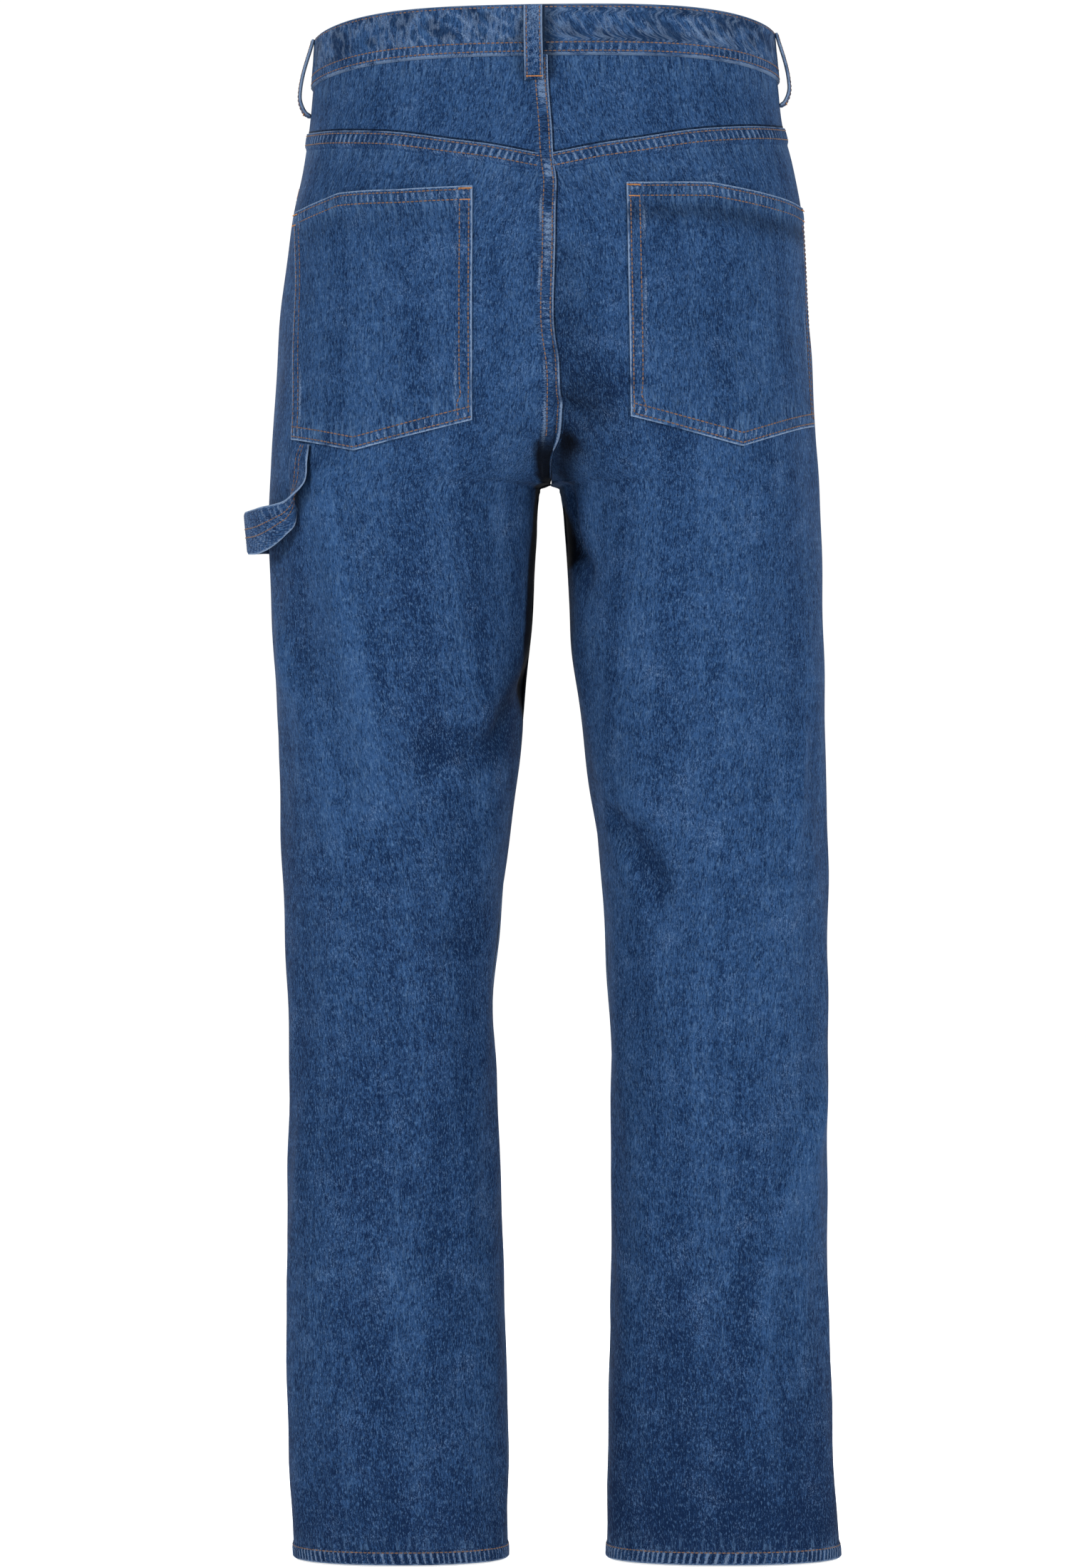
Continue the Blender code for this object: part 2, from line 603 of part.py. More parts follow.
# its first section lies on the leg under the pocket's edge, and its last one on the side of the leg
first_out, last_out = 0.0018, 0.0019
for edge, x, level, end_level in ((upper, 0.1629, -0.2790, -0.3212), (lower, 0.1713, -0.2772, -0.3510)):
    edge[0] = garment(1, angle_of(1, x, level), level, first_out)
    edge[-1] = garment(1, math.radians(-11.0), end_level, last_out)
    edge[-2] = garment(1, math.radians(-6.0), end_level, 0.0045)
    # between them no point comes nearer to the cloth than `clear`
    clear = 0.0024
    for row in range(1, len(edge) - 2):
        round_it = angle_of(1, edge[row, 0], edge[row, 2])
        off = normal(1, round_it, edge[row, 2])
        near = (edge[row] - garment(1, round_it, edge[row, 2])) @ off
        edge[row] += off * max(0.0, clear - near)
strip("hammer_loop", upper, lower, STRAP_WALL)

# Fly flap, on the wearer's left front: straight to its curved foot, as columns and rows of that front's grid
FLY = ((0.002, 0.045), (0.002, 0.185), (0.012, 0.186), (0.024, 0.180), (0.034, 0.166), (0.038, 0.150), (0.038, 0.045))
across, down = between([(x, WAIST_BOTTOM + 0.0445 - drop) for x, drop in FLY], 3).T
outline = cell_of(1, across + body("centre", down), down, mouth_level, FRONT_LEVELS, FRONT_COLUMNS)
area = np.cross(outline, np.roll(outline, -1, axis=0)).sum()
points, faces = patch_on(SKIN[1, -1], outline if area > 0 else outline[::-1], GAP, GAP + WALL)
add("fly_shield", points, faces)

BUTTON_ANGLE = -math.pi / 2 + 0.10
seat = garment(1, BUTTON_ANGLE, 0.0, 0.0)
out = normal(1, np.array(BUTTON_ANGLE), np.array(0.0))
across = np.cross(out, [0.0, 0.0, 1.0])
across = across / np.linalg.norm(across)
up = np.cross(across, out)
PROFILE = ((0.0040, 0.0012), (0.0040, 0.0024), (0.0085, 0.0026), (0.0085, 0.0040), (0.0060, 0.0050))
turns = np.linspace(0, 2 * math.pi, 20, endpoint=False)
circle = np.cos(turns)[:, None] * across + np.sin(turns)[:, None] * up
grid = np.stack([seat + circle * radius + out * height for radius, height in PROFILE])
index = np.arange(grid.shape[0] * 20).reshape(-1, 20)
after = np.roll(index, -1, axis=1)
walls = np.stack([index[:-1], after[:-1], after[1:], index[1:]], -1).reshape(-1, 4).tolist()
faces = walls + [index[0][::-1].tolist(), index[-1].tolist()]
add("waist_button", grid.reshape(-1, 3), faces, BRASS)
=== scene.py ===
# %% [markdown]
# # Loose carpenter jeans, filled out with no wearer
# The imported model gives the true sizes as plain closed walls. Here each of them is dressed as washed denim:
# a thin shell on the same form, with felled seams, twin topstitching, worn edges and soft folds.

import math

import bpy
import numpy as np
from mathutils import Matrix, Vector


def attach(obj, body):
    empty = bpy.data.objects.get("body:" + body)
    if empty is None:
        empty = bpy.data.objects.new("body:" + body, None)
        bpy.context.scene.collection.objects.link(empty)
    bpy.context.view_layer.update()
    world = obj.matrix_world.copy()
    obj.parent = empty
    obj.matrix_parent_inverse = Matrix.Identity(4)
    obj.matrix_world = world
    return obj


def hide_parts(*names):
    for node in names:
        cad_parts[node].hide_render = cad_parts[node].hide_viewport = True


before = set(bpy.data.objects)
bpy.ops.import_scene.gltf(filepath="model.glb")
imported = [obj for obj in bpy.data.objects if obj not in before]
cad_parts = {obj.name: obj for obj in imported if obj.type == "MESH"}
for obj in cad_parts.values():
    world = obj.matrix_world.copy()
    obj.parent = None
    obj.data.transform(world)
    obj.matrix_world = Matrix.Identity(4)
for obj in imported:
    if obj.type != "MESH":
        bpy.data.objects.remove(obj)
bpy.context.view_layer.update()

# %% [markdown]
# ## The garment as one surface
# Trousers are cut flat, but filled out they are one smooth skin. Every piece is a set of points on that
# skin, named by side (+1 left, -1 right), angle round the ring (0 at the side seam, 90 degrees at the back)
# and level (height before the waist tilts). The tables are those of the solids, so the looks fit them.

# %% Sizes and tables, in metres
CROTCH = -0.302
RISE = 0.105             # height above the crotch in which the two rings join
JOIN_POWER = 1.2
ROUND = 2.25             # power of each ring's superellipse
TILT = 0.0102            # lift of the waist at the back and dip at the front
TILT_POWER = 5
ROLL = 0.014             # fall of the waist towards the wearer's left
TILT_END = -0.20
WAIST_TOP = 0.0180
WAIST_BOTTOM = -0.0176
HEM_TOP = -1.0570
HEM_BOTTOM = -1.0665
DENIM_WALL = 0.0011
ROW_APART = 0.0066       # between the two rows of a twin topstitch

BODY_COLUMNS = ("level", "left", "right", "front", "back", "centre")
BODY = (
    (0.030, 0.1620, 0.1620, 0.108, 0.112, 0.0020),
    (0.000, 0.1640, 0.1650, 0.111, 0.114, 0.0020),
    (-0.020, 0.1655, 0.1670, 0.113, 0.116, 0.0015),
    (-0.047, 0.1680, 0.1700, 0.116, 0.121, 0.0010),
    (-0.078, 0.1730, 0.1780, 0.119, 0.128, 0.0000),
    (-0.108, 0.1795, 0.1840, 0.122, 0.136, -0.0010),
    (-0.139, 0.1836, 0.1850, 0.124, 0.143, -0.0020),
    (-0.200, 0.1890, 0.1890, 0.124, 0.148, -0.0050),
    (-0.261, 0.1930, 0.1930, 0.119, 0.140, -0.0060),
    (-0.312, 0.1960, 0.1960, 0.112, 0.126, -0.0045),
    (-0.363, 0.1960, 0.1980, 0.106, 0.115, -0.0045),
    (-0.414, 0.1940, 0.2000, 0.100, 0.106, -0.0045),
    (-0.516, 0.1890, 0.2015, 0.089, 0.090, -0.0045),
    (-0.618, 0.1856, 0.2025, 0.078, 0.077, -0.0045),
    (-0.720, 0.1826, 0.2030, 0.067, 0.071, -0.0045),
    (-0.822, 0.1836, 0.2020, 0.059, 0.070, -0.0045),
    (-0.924, 0.1836, 0.2035, 0.053, 0.070, -0.0045),
    (-1.000, 0.1825, 0.2070, 0.050, 0.071, -0.0045),
    (-1.072, 0.1782, 0.2115, 0.048, 0.070, -0.0045),
)
INNER_COLUMNS = ("level", "left", "right")
INNER = (
    (-0.3028, -0.0045, 0.0045),
    (-0.3040, 0.0002, 0.0085),
    (-0.308, 0.0032, 0.0110),
    (-0.314, 0.0042, 0.0123),
    (-0.338, 0.0056, 0.0150),
    (-0.363, 0.0071, 0.0168),
    (-0.388, 0.0086, 0.0180),
    (-0.414, 0.0102, 0.0194),
    (-0.465, 0.0143, 0.0255),
    (-0.516, 0.0199, 0.0326),
    (-0.567, 0.0270, 0.0398),
    (-0.618, 0.0326, 0.0434),
    (-0.669, 0.0367, 0.0459),
    (-0.720, 0.0347, 0.0480),
    (-0.771, 0.0326, 0.0480),
    (-0.873, 0.0286, 0.0474),
    (-0.975, 0.0265, 0.0460),
    (-1.072, 0.0260, 0.0444),
)
YOKE_COLUMNS = ("angle", "level")
YOKE_SEAM = (
    (0.0, -0.0490),
    (20.0, -0.0550),
    (40.0, -0.0612),
    (55.0, -0.0663),
    (70.0, -0.0730),
    (80.0, -0.0775),
    (90.0, -0.0842),
)
# Each pocket's mouth and foot from its outer to its inner edge: metres out from the middle, then level
POCKET_TOP = {
    1: ((0.1746, -0.1124), (0.1590, -0.1084), (0.1435, -0.1045), (0.1013, -0.1060), (0.0498, -0.1055)),
    -1: ((0.1822, -0.1090), (0.1479, -0.1052), (0.1144, -0.1023), (0.0568, -0.1036)),
}
POCKET_FOOT = {
    1: ((0.1767, -0.2743), (0.1326, -0.2839), (0.0504, -0.2628)),
    -1: ((0.1897, -0.2633), (0.1373, -0.2808), (0.0600, -0.2605)),
}
MOUTH_COLUMNS = ("angle", "level")
MOUTH = (
    (0.0, -0.0900),
    (-12.0, -0.0885),
    (-24.0, -0.0820),
    (-36.0, -0.0660),
    (-46.0, -0.0400),
    (-50.0, -0.0176),
)
# The visible fold of the centre back seam, which laps a little to the wearer's right
RISE_COLUMNS = ("level", "x")
RISE_FOLD = (
    (-0.0176, -0.0022),
    (-0.0363, -0.0027),
    (-0.0531, -0.0040),
    (-0.0674, -0.0052),
    (-0.0816, -0.0059),
    (-0.0911, -0.0069),
    (-0.1005, -0.0082),
    (-0.1193, -0.0077),
    (-0.1452, -0.0074),
    (-0.1617, -0.0069),
    (-0.1857, -0.0062),
    (-0.1954, -0.0064),
    (-0.2102, -0.0079),
    (-0.2199, -0.0094),
    (-0.2296, -0.0103),
    (-0.2393, -0.0106),
    (-0.2489, -0.0105),
    (-0.2584, -0.0102),
    (-0.2678, -0.0098),
    (-0.2734, -0.0091),
    (-0.2793, -0.0080),
    (-0.2859, -0.0048),
    (-0.2925, -0.0038),
    (-0.3000, -0.0035),
)


def column(table, name, names):
    """One named column of a table as an array."""
    return np.array([row[names.index(name)] for row in table], float)


def smooth_read(levels, values, at):
    """Reads a table between its rows with cubic pieces whose slopes come from the neighbouring rows."""
    order = np.argsort(levels)
    known, held = levels[order], values[order]
    slope = np.gradient(held, known)
    at = np.clip(at, known[0], known[-1])
    row = np.clip(np.searchsorted(known, at) - 1, 0, len(known) - 2)
    step = known[row + 1] - known[row]
    t = (at - known[row]) / step
    rise = 3 * t**2 - 2 * t**3
    return (
        (1 - rise) * held[row]
        + rise * held[row + 1]
        + (t**3 - 2 * t**2 + t) * step * slope[row]
        + (t**3 - t**2) * step * slope[row + 1]
    )


def ease(value, start, end):
    """0 before start and 1 after end, with a soft S between them."""
    t = np.clip((value - start) / (end - start), 0, 1)
    return t * t * (3 - 2 * t)


# %% [markdown]
# ## Rings, and the U between the legs
# Each side is half of one ring at the waist and a whole ring in the leg. Between them the half ring's
# middle moves out from the centre plane, so that what it cuts from that plane closes into the U of the
# crotch.

# %% The bare surface
SIDE_NAME = {1: "left", -1: "right"}
BODY_LEVEL = column(BODY, "level", BODY_COLUMNS)
BODY_READ = {name: column(BODY, name, BODY_COLUMNS) for name in BODY_COLUMNS[1:]}
INNER_LEVEL = column(INNER, "level", INNER_COLUMNS)
INNER_READ = {name: column(INNER, name, INNER_COLUMNS) for name in INNER_COLUMNS[1:]}


def body(name, level):
    return smooth_read(BODY_LEVEL, BODY_READ[name], level)


def joining(level):
    """1 at the crotch and below it, falling to 0 where the two rings have joined."""
    return (1 - np.clip((level - CROTCH) / RISE, 0, 1)) ** JOIN_POWER


def signed_power(wave, power):
    return np.sign(wave) * np.abs(wave) ** power


def halves(side, level):
    """Centre plane, half width and middle of one side's ring. Above the crotch, with r for how far the rings
    are from joining, the half width is out / (1 + r) and the middle is that times r."""
    centre = body("centre", level)
    out = body(SIDE_NAME[side], level) - side * centre
    inner = smooth_read(INNER_LEVEL, INNER_READ[SIDE_NAME[side]], level) - side * centre
    r = joining(level)
    half = np.where(level < CROTCH, (out - inner) / 2, out / (1 + r))
    return centre, half, np.where(level < CROTCH, (out + inner) / 2, half * r)


def ring(side, angle, level):
    """A superellipse round the middle of its side's ring: cosine and sine to the power 2 / ROUND. The waist
    is lifted at the back, lowered at the front, and rolls a little to one side."""
    angle, level = np.broadcast_arrays(np.asarray(angle, float), np.asarray(level, float))
    centre, half, middle = halves(side, level)
    front, back = body("front", level), body("back", level)
    cosine, sine = np.cos(angle), np.sin(angle)
    x = centre + side * (middle + half * signed_power(cosine, 2 / ROUND))
    y = (back - front) / 2 + (back + front) / 2 * signed_power(sine, 2 / ROUND)
    dip = TILT * np.sign(sine) * (1 - np.abs(cosine) ** (TILT_POWER * 2 / ROUND))
    return np.stack([x, y, level + ease(level, TILT_END, 0.0) * (dip - ROLL * x)], -1)


def angle_of(side, x, level):
    """Angle at which a ring stands x metres out from the middle of the garment: the inverse of ring()."""
    x, level = np.broadcast_arrays(np.asarray(x, float), np.asarray(level, float))
    centre, half, middle = halves(side, level)
    share = np.clip((x - side * centre - middle) / half, -1, 1)
    return np.arccos(signed_power(share, ROUND / 2))


def inner_end(level):
    """Angle at which a half ring meets the centre plane; pi below the crotch."""
    return np.arccos(-(joining(level) ** (ROUND / 2)))


def metres_per_radian(side, angle, level):
    step = 0.01
    apart = ring(side, angle + step, level) - ring(side, angle - step, level)
    return np.linalg.norm(apart, axis=-1) / (2 * step)


def normal(side, angle, level):
    """Outward direction of the bare ring, from two short steps along it."""
    step_a, step_l = 0.02, 0.004
    level = np.clip(level, BODY_LEVEL.min() + step_l, BODY_LEVEL.max() - step_l)
    round_it = ring(side, angle + step_a, level) - ring(side, angle - step_a, level)
    up_it = ring(side, angle, level + step_l) - ring(side, angle, level - step_l)
    out = np.cross(round_it, up_it) * side
    return out / np.linalg.norm(out, axis=-1, keepdims=True)


# %% [markdown]
# ## Folds
# Heavy denim makes few, soft folds. Each row of the table is a trough (negative) or a ridge along a line on
# one leg, with a bell across it. Long shallow waves keep the rest from being perfectly smooth. The first
# rows are the largest folds, which the solids have too.

# %% Folds and slow waves
ARC = 0.1                # metres of cloth in one radian round a leg
# side; angle and level where it starts; angle and level where it ends; half width; depth
FOLDS = (
    (1, 172.0, -0.448, 150.0, -0.470, 0.022, -0.0060),
    (1, 168.0, -0.484, 100.0, -0.496, 0.018, -0.0035),
    (1, 55.0, -0.315, 84.0, -0.520, 0.030, 0.0035),
    (1, 30.0, -0.430, 62.0, -0.545, 0.026, 0.0030),
    (-1, 165.0, -0.345, 150.0, -0.365, 0.020, -0.0050),
    (-1, 144.0, -0.540, 118.0, -0.585, 0.018, -0.0045),
    (-1, 148.0, -0.530, 130.0, -0.532, 0.012, 0.0025),
    (-1, 26.0, -0.745, 72.0, -0.960, 0.026, 0.0035),
    (1, -60.0, -0.500, -130.0, -0.540, 0.028, -0.0040),
    (-1, -55.0, -0.470, -120.0, -0.520, 0.028, -0.0040),
    (1, -40.0, -0.760, -110.0, -0.820, 0.030, 0.0030),
    (-1, -70.0, -0.800, -130.0, -0.860, 0.030, -0.0030),
    # smaller creases that only the looks have: left leg, down from the strap and from the hip
    (1, 57.3, -0.307, 67.3, -0.391, 0.011, 0.0020),
    (1, 67.3, -0.391, 80.9, -0.508, 0.011, 0.0022),
    (1, 68.0, -0.330, 86.0, -0.470, 0.016, -0.0014),
    (1, 18.0, -0.393, 47.0, -0.470, 0.012, 0.0016),
    (1, 47.0, -0.470, 64.0, -0.537, 0.012, 0.0016),
    # left leg, the cloth slumped at the inside of the knee
    (1, 144.9, -0.4865, 124.5, -0.4984, 0.011, -0.0034),
    (1, 124.5, -0.4984, 105.5, -0.4838, 0.012, -0.0030),
    (1, 138.0, -0.512, 112.0, -0.508, 0.012, 0.0022),
    (1, 150.0, -0.610, 118.0, -0.640, 0.020, -0.0018),
    (1, 60.0, -0.830, 110.0, -0.900, 0.026, 0.0014),
    # right seat, drawn to the crotch
    (-1, 88.3, -0.1905, 93.3, -0.2200, 0.010, -0.0024),
    (-1, 93.3, -0.2200, 96.9, -0.2419, 0.010, -0.0042),
    (-1, 96.9, -0.2419, 111.0, -0.2576, 0.010, -0.0042),
    (-1, 111.0, -0.2576, 127.7, -0.2783, 0.011, -0.0055),
    (-1, 84.0, -0.2500, 92.0, -0.2900, 0.014, -0.0016),
    # right leg, inside of the thigh and of the knee
    (-1, 158.8, -0.3145, 160.5, -0.3524, 0.012, -0.0050),
    (-1, 160.5, -0.3524, 150.4, -0.3656, 0.010, -0.0030),
    (-1, 150.0, -0.5374, 134.0, -0.5629, 0.010, -0.0032),
    (-1, 134.0, -0.5629, 118.5, -0.5878, 0.010, -0.0030),
    (-1, 132.0, -0.5219, 117.8, -0.5411, 0.011, 0.0018),
    # right leg, outside of the knee and the long crease down the calf
    (-1, 40.0, -0.4800, 47.9, -0.5460, 0.010, 0.0022),
    (-1, 47.9, -0.5460, 54.1, -0.6090, 0.010, 0.0020),
    (-1, 26.5, -0.7476, 54.9, -0.8104, 0.008, 0.0030),
    (-1, 54.9, -0.8104, 65.0, -0.8588, 0.008, 0.0030),
    (-1, 65.0, -0.8588, 73.2, -0.9202, 0.009, 0.0027),
    (-1, 73.2, -0.9202, 77.7, -0.9844, 0.010, 0.0020),
    (-1, 44.6, -0.8283, 56.0, -0.8932, 0.013, -0.0024),
    (-1, 56.0, -0.8932, 62.4, -0.9482, 0.013, -0.0020),
    # fronts, like the backs
    (1, -100.0, -0.300, -140.0, -0.330, 0.014, -0.0022),
    (-1, -100.0, -0.300, -140.0, -0.330, 0.014, -0.0022),
    (1, -26.0, -0.420, -52.0, -0.520, 0.012, 0.0020),
    (-1, -34.0, -0.520, -60.0, -0.600, 0.012, 0.0020),
    (1, -110.0, -0.560, -136.0, -0.530, 0.012, -0.0026),
    (-1, -112.0, -0.575, -138.0, -0.545, 0.012, -0.0026),
    (1, -30.0, -0.780, -60.0, -0.880, 0.009, 0.0024),
    (-1, -34.0, -0.800, -64.0, -0.900, 0.009, 0.0022),
)
# Painted shade along lines on the legs and the seat, where folds and the crotch fall into shade; rows as in
# FOLDS, with how dark it is in the last column
PAINTED_SHADE_LINES = (
    (1, 165.0, -0.4250, 148.0, -0.4700, 0.022, 0.45),
    (-1, 127.7, -0.2783, 150.0, -0.3000, 0.010, 0.75),
    (-1, 93.3, -0.2200, 104.0, -0.2500, 0.020, 0.20),
    (-1, 104.0, -0.2500, 127.7, -0.2783, 0.022, 0.28),
    (-1, 88.0, -0.1500, 88.3, -0.2000, 0.012, 0.22),
)
# Where the inside of each leg turns dark: the cloth beyond these angles never sees the light
SHADOW_COLUMNS = ("level", "angle")
SHADOW = {
    1: (
        (-0.268, 128.0), (-0.2775, 125.5), (-0.2868, 133.0), (-0.2982, 146.0), (-0.3040, 160.0),
        (-0.3120, 168.0), (-0.3440, 163.5), (-0.3740, 161.5), (-0.3940, 160.5), (-0.4150, 160.5),
        (-0.4330, 164.0), (-0.4550, 173.0), (-0.4700, 178.0), (-0.4800, 184.0),
    ),
    -1: (
        (-0.3180, 181.0), (-0.3214, 172.0), (-0.3290, 166.7), (-0.3390, 167.0), (-0.3520, 164.0),
        (-0.3587, 162.3), (-0.3605, 169.0), (-0.3625, 181.0),
    ),
}


def fold_height(side, angle, level, table=FOLDS):
    """Sum of the folds: each is its depth times a bell across its line, with rounded ends."""
    total = np.zeros(np.broadcast(angle, level).shape)
    for fold_side, angle_a, level_a, angle_b, level_b, half_width, depth in table:
        if fold_side != side:
            continue
        start = np.array([math.radians(angle_a) * ARC, level_a])
        along = np.array([math.radians(angle_b) * ARC, level_b]) - start
        length = np.hypot(*along)
        u, v = angle * ARC - start[0], level - start[1]
        run = (u * along[0] + v * along[1]) / length
        across = (u * along[1] - v * along[0]) / length
        beyond = np.maximum(np.maximum(-run, run - length), 0)
        total = total + depth * np.exp(-(across**2 + beyond**2) / (2 * (half_width * 0.55) ** 2))
    return total


def shadow(side, angle, level):
    """1 in the dark inside of a leg, with a border 4 degrees wide."""
    known = column(SHADOW[side], "level", SHADOW_COLUMNS)
    past = np.degrees(angle) - np.interp(-level, -known, column(SHADOW[side], "angle", SHADOW_COLUMNS))
    return ease(past, -2.0, 2.0) * (level < known.max()) * (level > known.min())


def slow_waves(side, angle, level):
    """Shallow unevenness: four long sine waves that lean across the leg, half a millimetre in all."""
    u = angle * ARC
    total = np.zeros(np.broadcast(angle, level).shape)
    for pitch_u, pitch_v, shift, height in (
        (0.083, 0.310, 0.4, 0.00045),
        (-0.061, 0.190, 1.9, 0.00035),
        (0.047, -0.120, 3.1 + side, 0.00025),
        (0.150, 0.075, 5.2 - side, 0.00030),
    ):
        total = total + height * np.sin(math.tau * (u / pitch_u + level / pitch_v) + shift)
    return total


def garment(side, angle, level, out=0.0):
    """A point on the folded cloth, moved out by `out` metres."""
    angle, level = np.broadcast_arrays(np.asarray(angle, float), np.asarray(level, float))
    quiet = ease(-level, 0.02, 0.12) * ease(level, HEM_BOTTOM, HEM_BOTTOM + 0.05)
    lift = fold_height(side, angle, level) + slow_waves(side, angle, level) * quiet + out
    return ring(side, angle, level) + normal(side, angle, level) * lift[..., None]


# %% [markdown]
# ## From a grid of points to a cloth shell
# A sheet of cloth is a grid of points with an outer skin, an inner skin and a rim. It is worked out as
# whole arrays and handed to Blender in one go. Each point keeps its place in the cloth in metres (for the
# weave), its distance from the nearest worn edge, how worn it is, how much painted shade it carries, and
# whether it is on the wrong side of the cloth.


# %% Mesh helpers
def run_length(points, axis):
    """Length in metres from the start of each row or column of a grid to each of its points."""
    total = np.cumsum(np.linalg.norm(np.diff(points, axis=axis), axis=-1), axis=axis)
    return np.concatenate([np.zeros_like(np.take(total, [0], axis=axis)), total], axis=axis)


def place_object(name, data):
    made = bpy.data.objects.new(name, data)
    bpy.context.scene.collection.objects.link(made)
    return made


def grid_quads(index, closed=False):
    """The quads between a grid's point numbers. With closed, the columns run all the way round."""
    after = np.roll(index, -1, axis=1)
    if not closed:
        index, after = index[:, :-1], index[:, 1:]
    return np.stack([index[:-1], after[:-1], after[1:], index[1:]], -1).reshape(-1, 4)


def mesh_from(name, points, quads, paint, marks, smooth_angle=50.0):
    """An object from points and quads or triangles. marks holds one array of numbers per point for each named
    attribute, and u and v become the UV map."""
    mesh = bpy.data.meshes.new(name)
    mesh.vertices.add(len(points))
    mesh.vertices.foreach_set("co", np.ascontiguousarray(points, np.float32).ravel())
    mesh.loops.add(quads.size)
    mesh.loops.foreach_set("vertex_index", np.ascontiguousarray(quads, np.int32).ravel())
    mesh.polygons.add(len(quads))
    mesh.polygons.foreach_set("loop_start", np.arange(0, quads.size, quads.shape[1], dtype=np.int32))
    mesh.update(calc_edges=True)
    mesh.validate()
    mesh.polygons.foreach_set("use_smooth", np.ones(len(mesh.polygons), bool))
    mesh.set_sharp_from_angle(angle=math.radians(smooth_angle))
    corner = np.empty(len(mesh.loops), np.int32)
    mesh.loops.foreach_get("vertex_index", corner)
    uv = mesh.uv_layers.new(name="cloth")
    uv.data.foreach_set("uv", np.stack([marks["u"], marks["v"]], -1)[corner].astype(np.float32).ravel())
    for mark, values in marks.items():
        if mark not in ("u", "v"):
            layer = mesh.attributes.new(mark, "FLOAT", "POINT")
            layer.data.foreach_set("value", np.ascontiguousarray(values, np.float32))
    mesh.materials.append(paint)
    return place_object(name, mesh)


def shell(name, outer, inner, paint, marks, closed=False, wrong_side=1.0):
    """A closed wall between two grids of points. With closed, the columns run all the way round."""
    count = outer.shape[0] * outer.shape[1]
    index = np.arange(count).reshape(outer.shape[:2])
    skin = grid_quads(index, closed)
    if closed:
        after = np.roll(index, -1, axis=1)
        rim = np.concatenate([
            np.stack([after[0], index[0], index[0] + count, after[0] + count], -1),
            np.stack([index[-1], after[-1], after[-1] + count, index[-1] + count], -1),
        ])
    else:
        edge = np.concatenate([index[0, :], index[1:, -1], index[-1, -2::-1], index[-2:0:-1, 0]])
        after = np.roll(edge, -1)
        rim = np.stack([after, edge, edge + count, after + count], -1)
    points = np.concatenate([outer.reshape(-1, 3), inner.reshape(-1, 3)])
    quads = np.concatenate([skin, skin[:, ::-1] + count, rim])
    corners = points[skin]
    facing = np.cross(corners[:, 2] - corners[:, 0], corners[:, 3] - corners[:, 1])
    if (facing * (outer - inner).reshape(-1, 3)[skin[:, 0]]).sum() < 0:
        quads = quads[:, ::-1]
    doubled = {mark: np.tile(values.ravel(), 2) for mark, values in marks.items()}
    doubled["wrong_side"] = np.repeat([0.0, wrong_side], count)
    return mesh_from(name, points, quads, paint, doubled)


def cloth(node, outer, inner, paint, marks, rests_on, held="stretched", **shape):
    """A piece of cloth that stands for a node; a seam has none. It measures its longest row and longest
    column but does nothing with them."""
    is_seam = node.startswith("seam_")
    piece = shell(node if is_seam else "cloth_" + node, outer, inner, paint, marks, **shape)
    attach(piece, "root")
    if not is_seam:
        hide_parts(node)
    width, length = run_length(outer, 1)[:, -1].max(), run_length(outer, 0)[-1].max()
    cell = np.cross(outer[1:, 1:] - outer[:-1, :-1], outer[1:, :-1] - outer[:-1, 1:])


# %% [markdown]
# ## Washed denim
# Denim is a twill: blue warp threads over white weft. Washing wears the blue off the high spots, so short
# pale flecks run along the warp, seams show rope-like pale and dark bars, and folded edges turn nearly
# white. All of it follows the cloth's own UV map in metres, so the flecks keep their size on every piece.


# %% A small language for shader maths
class Value:
    """A node socket that Python's + - * can be used on. Each operation adds one Math node."""

    def __init__(self, tree, socket):
        self.tree, self.socket = tree, socket

    def node(self, kind, settings=None, inputs=None, out=0):
        """Any node: its type, its settings, then the values or links of its sockets."""
        made = self.tree.nodes.new(kind)
        for name, value in (settings or {}).items():
            setattr(made, name, value)
        for name, value in (inputs or {}).items():
            if isinstance(value, Value):
                self.tree.links.new(value.socket, made.inputs[name])
            else:
                made.inputs[name].default_value = value
        return Value(self.tree, made.outputs[out])

    def math(self, operation, *others):
        return self.node("ShaderNodeMath", {"operation": operation}, dict(enumerate((self, *others))))

    def __add__(self, other):
        return self.math("ADD", other)

    def __sub__(self, other):
        return self.math("SUBTRACT", other)

    def __mul__(self, other):
        return self.math("MULTIPLY", other)

    def between(self, low, high):
        """0 at low and below, 1 at high and above, softly."""
        settings = {"interpolation_type": "SMOOTHSTEP"}
        return self.node("ShaderNodeMapRange", settings, {"Value": self, "From Min": low, "From Max": high})

    def noise(self, vector, scale, detail, roughness, distortion=0.0):
        inputs = {"Vector": vector, "Scale": scale, "Detail": detail, "Roughness": roughness}
        inputs["Distortion"] = distortion
        return self.node("ShaderNodeTexNoise", {"noise_dimensions": "3D"}, inputs)

    def blend(self, factor, first, second):
        """A colour mix: the first colour where factor is 0, the second where it is 1."""
        inputs = {0: factor, 6: first, 7: second}
        return self.node("ShaderNodeMix", {"data_type": "RGBA", "clamp_factor": True}, inputs, out=2)

    def mark(self, name):
        return self.node("ShaderNodeAttribute", {"attribute_name": name}, out=2)

    def object_place(self):
        return self.node("ShaderNodeTexCoord", out=3)


def paint(name):
    """A new material and its Principled shader, wrapped for the maths above."""
    made = bpy.data.materials.new(name)
    made.use_nodes = True
    shader = made.node_tree.nodes["Principled BSDF"]
    return made, shader, Value(made.node_tree, shader.outputs[0])


def finish_paint(shader, colour, height, strength, distance, roughness):
    colour.tree.links.new(colour.socket, shader.inputs["Base Color"])
    bump = colour.node("ShaderNodeBump", {}, {"Strength": strength, "Distance": distance, "Height": height})
    colour.tree.links.new(bump.socket, shader.inputs["Normal"])
    shader.inputs["Roughness"].default_value = roughness


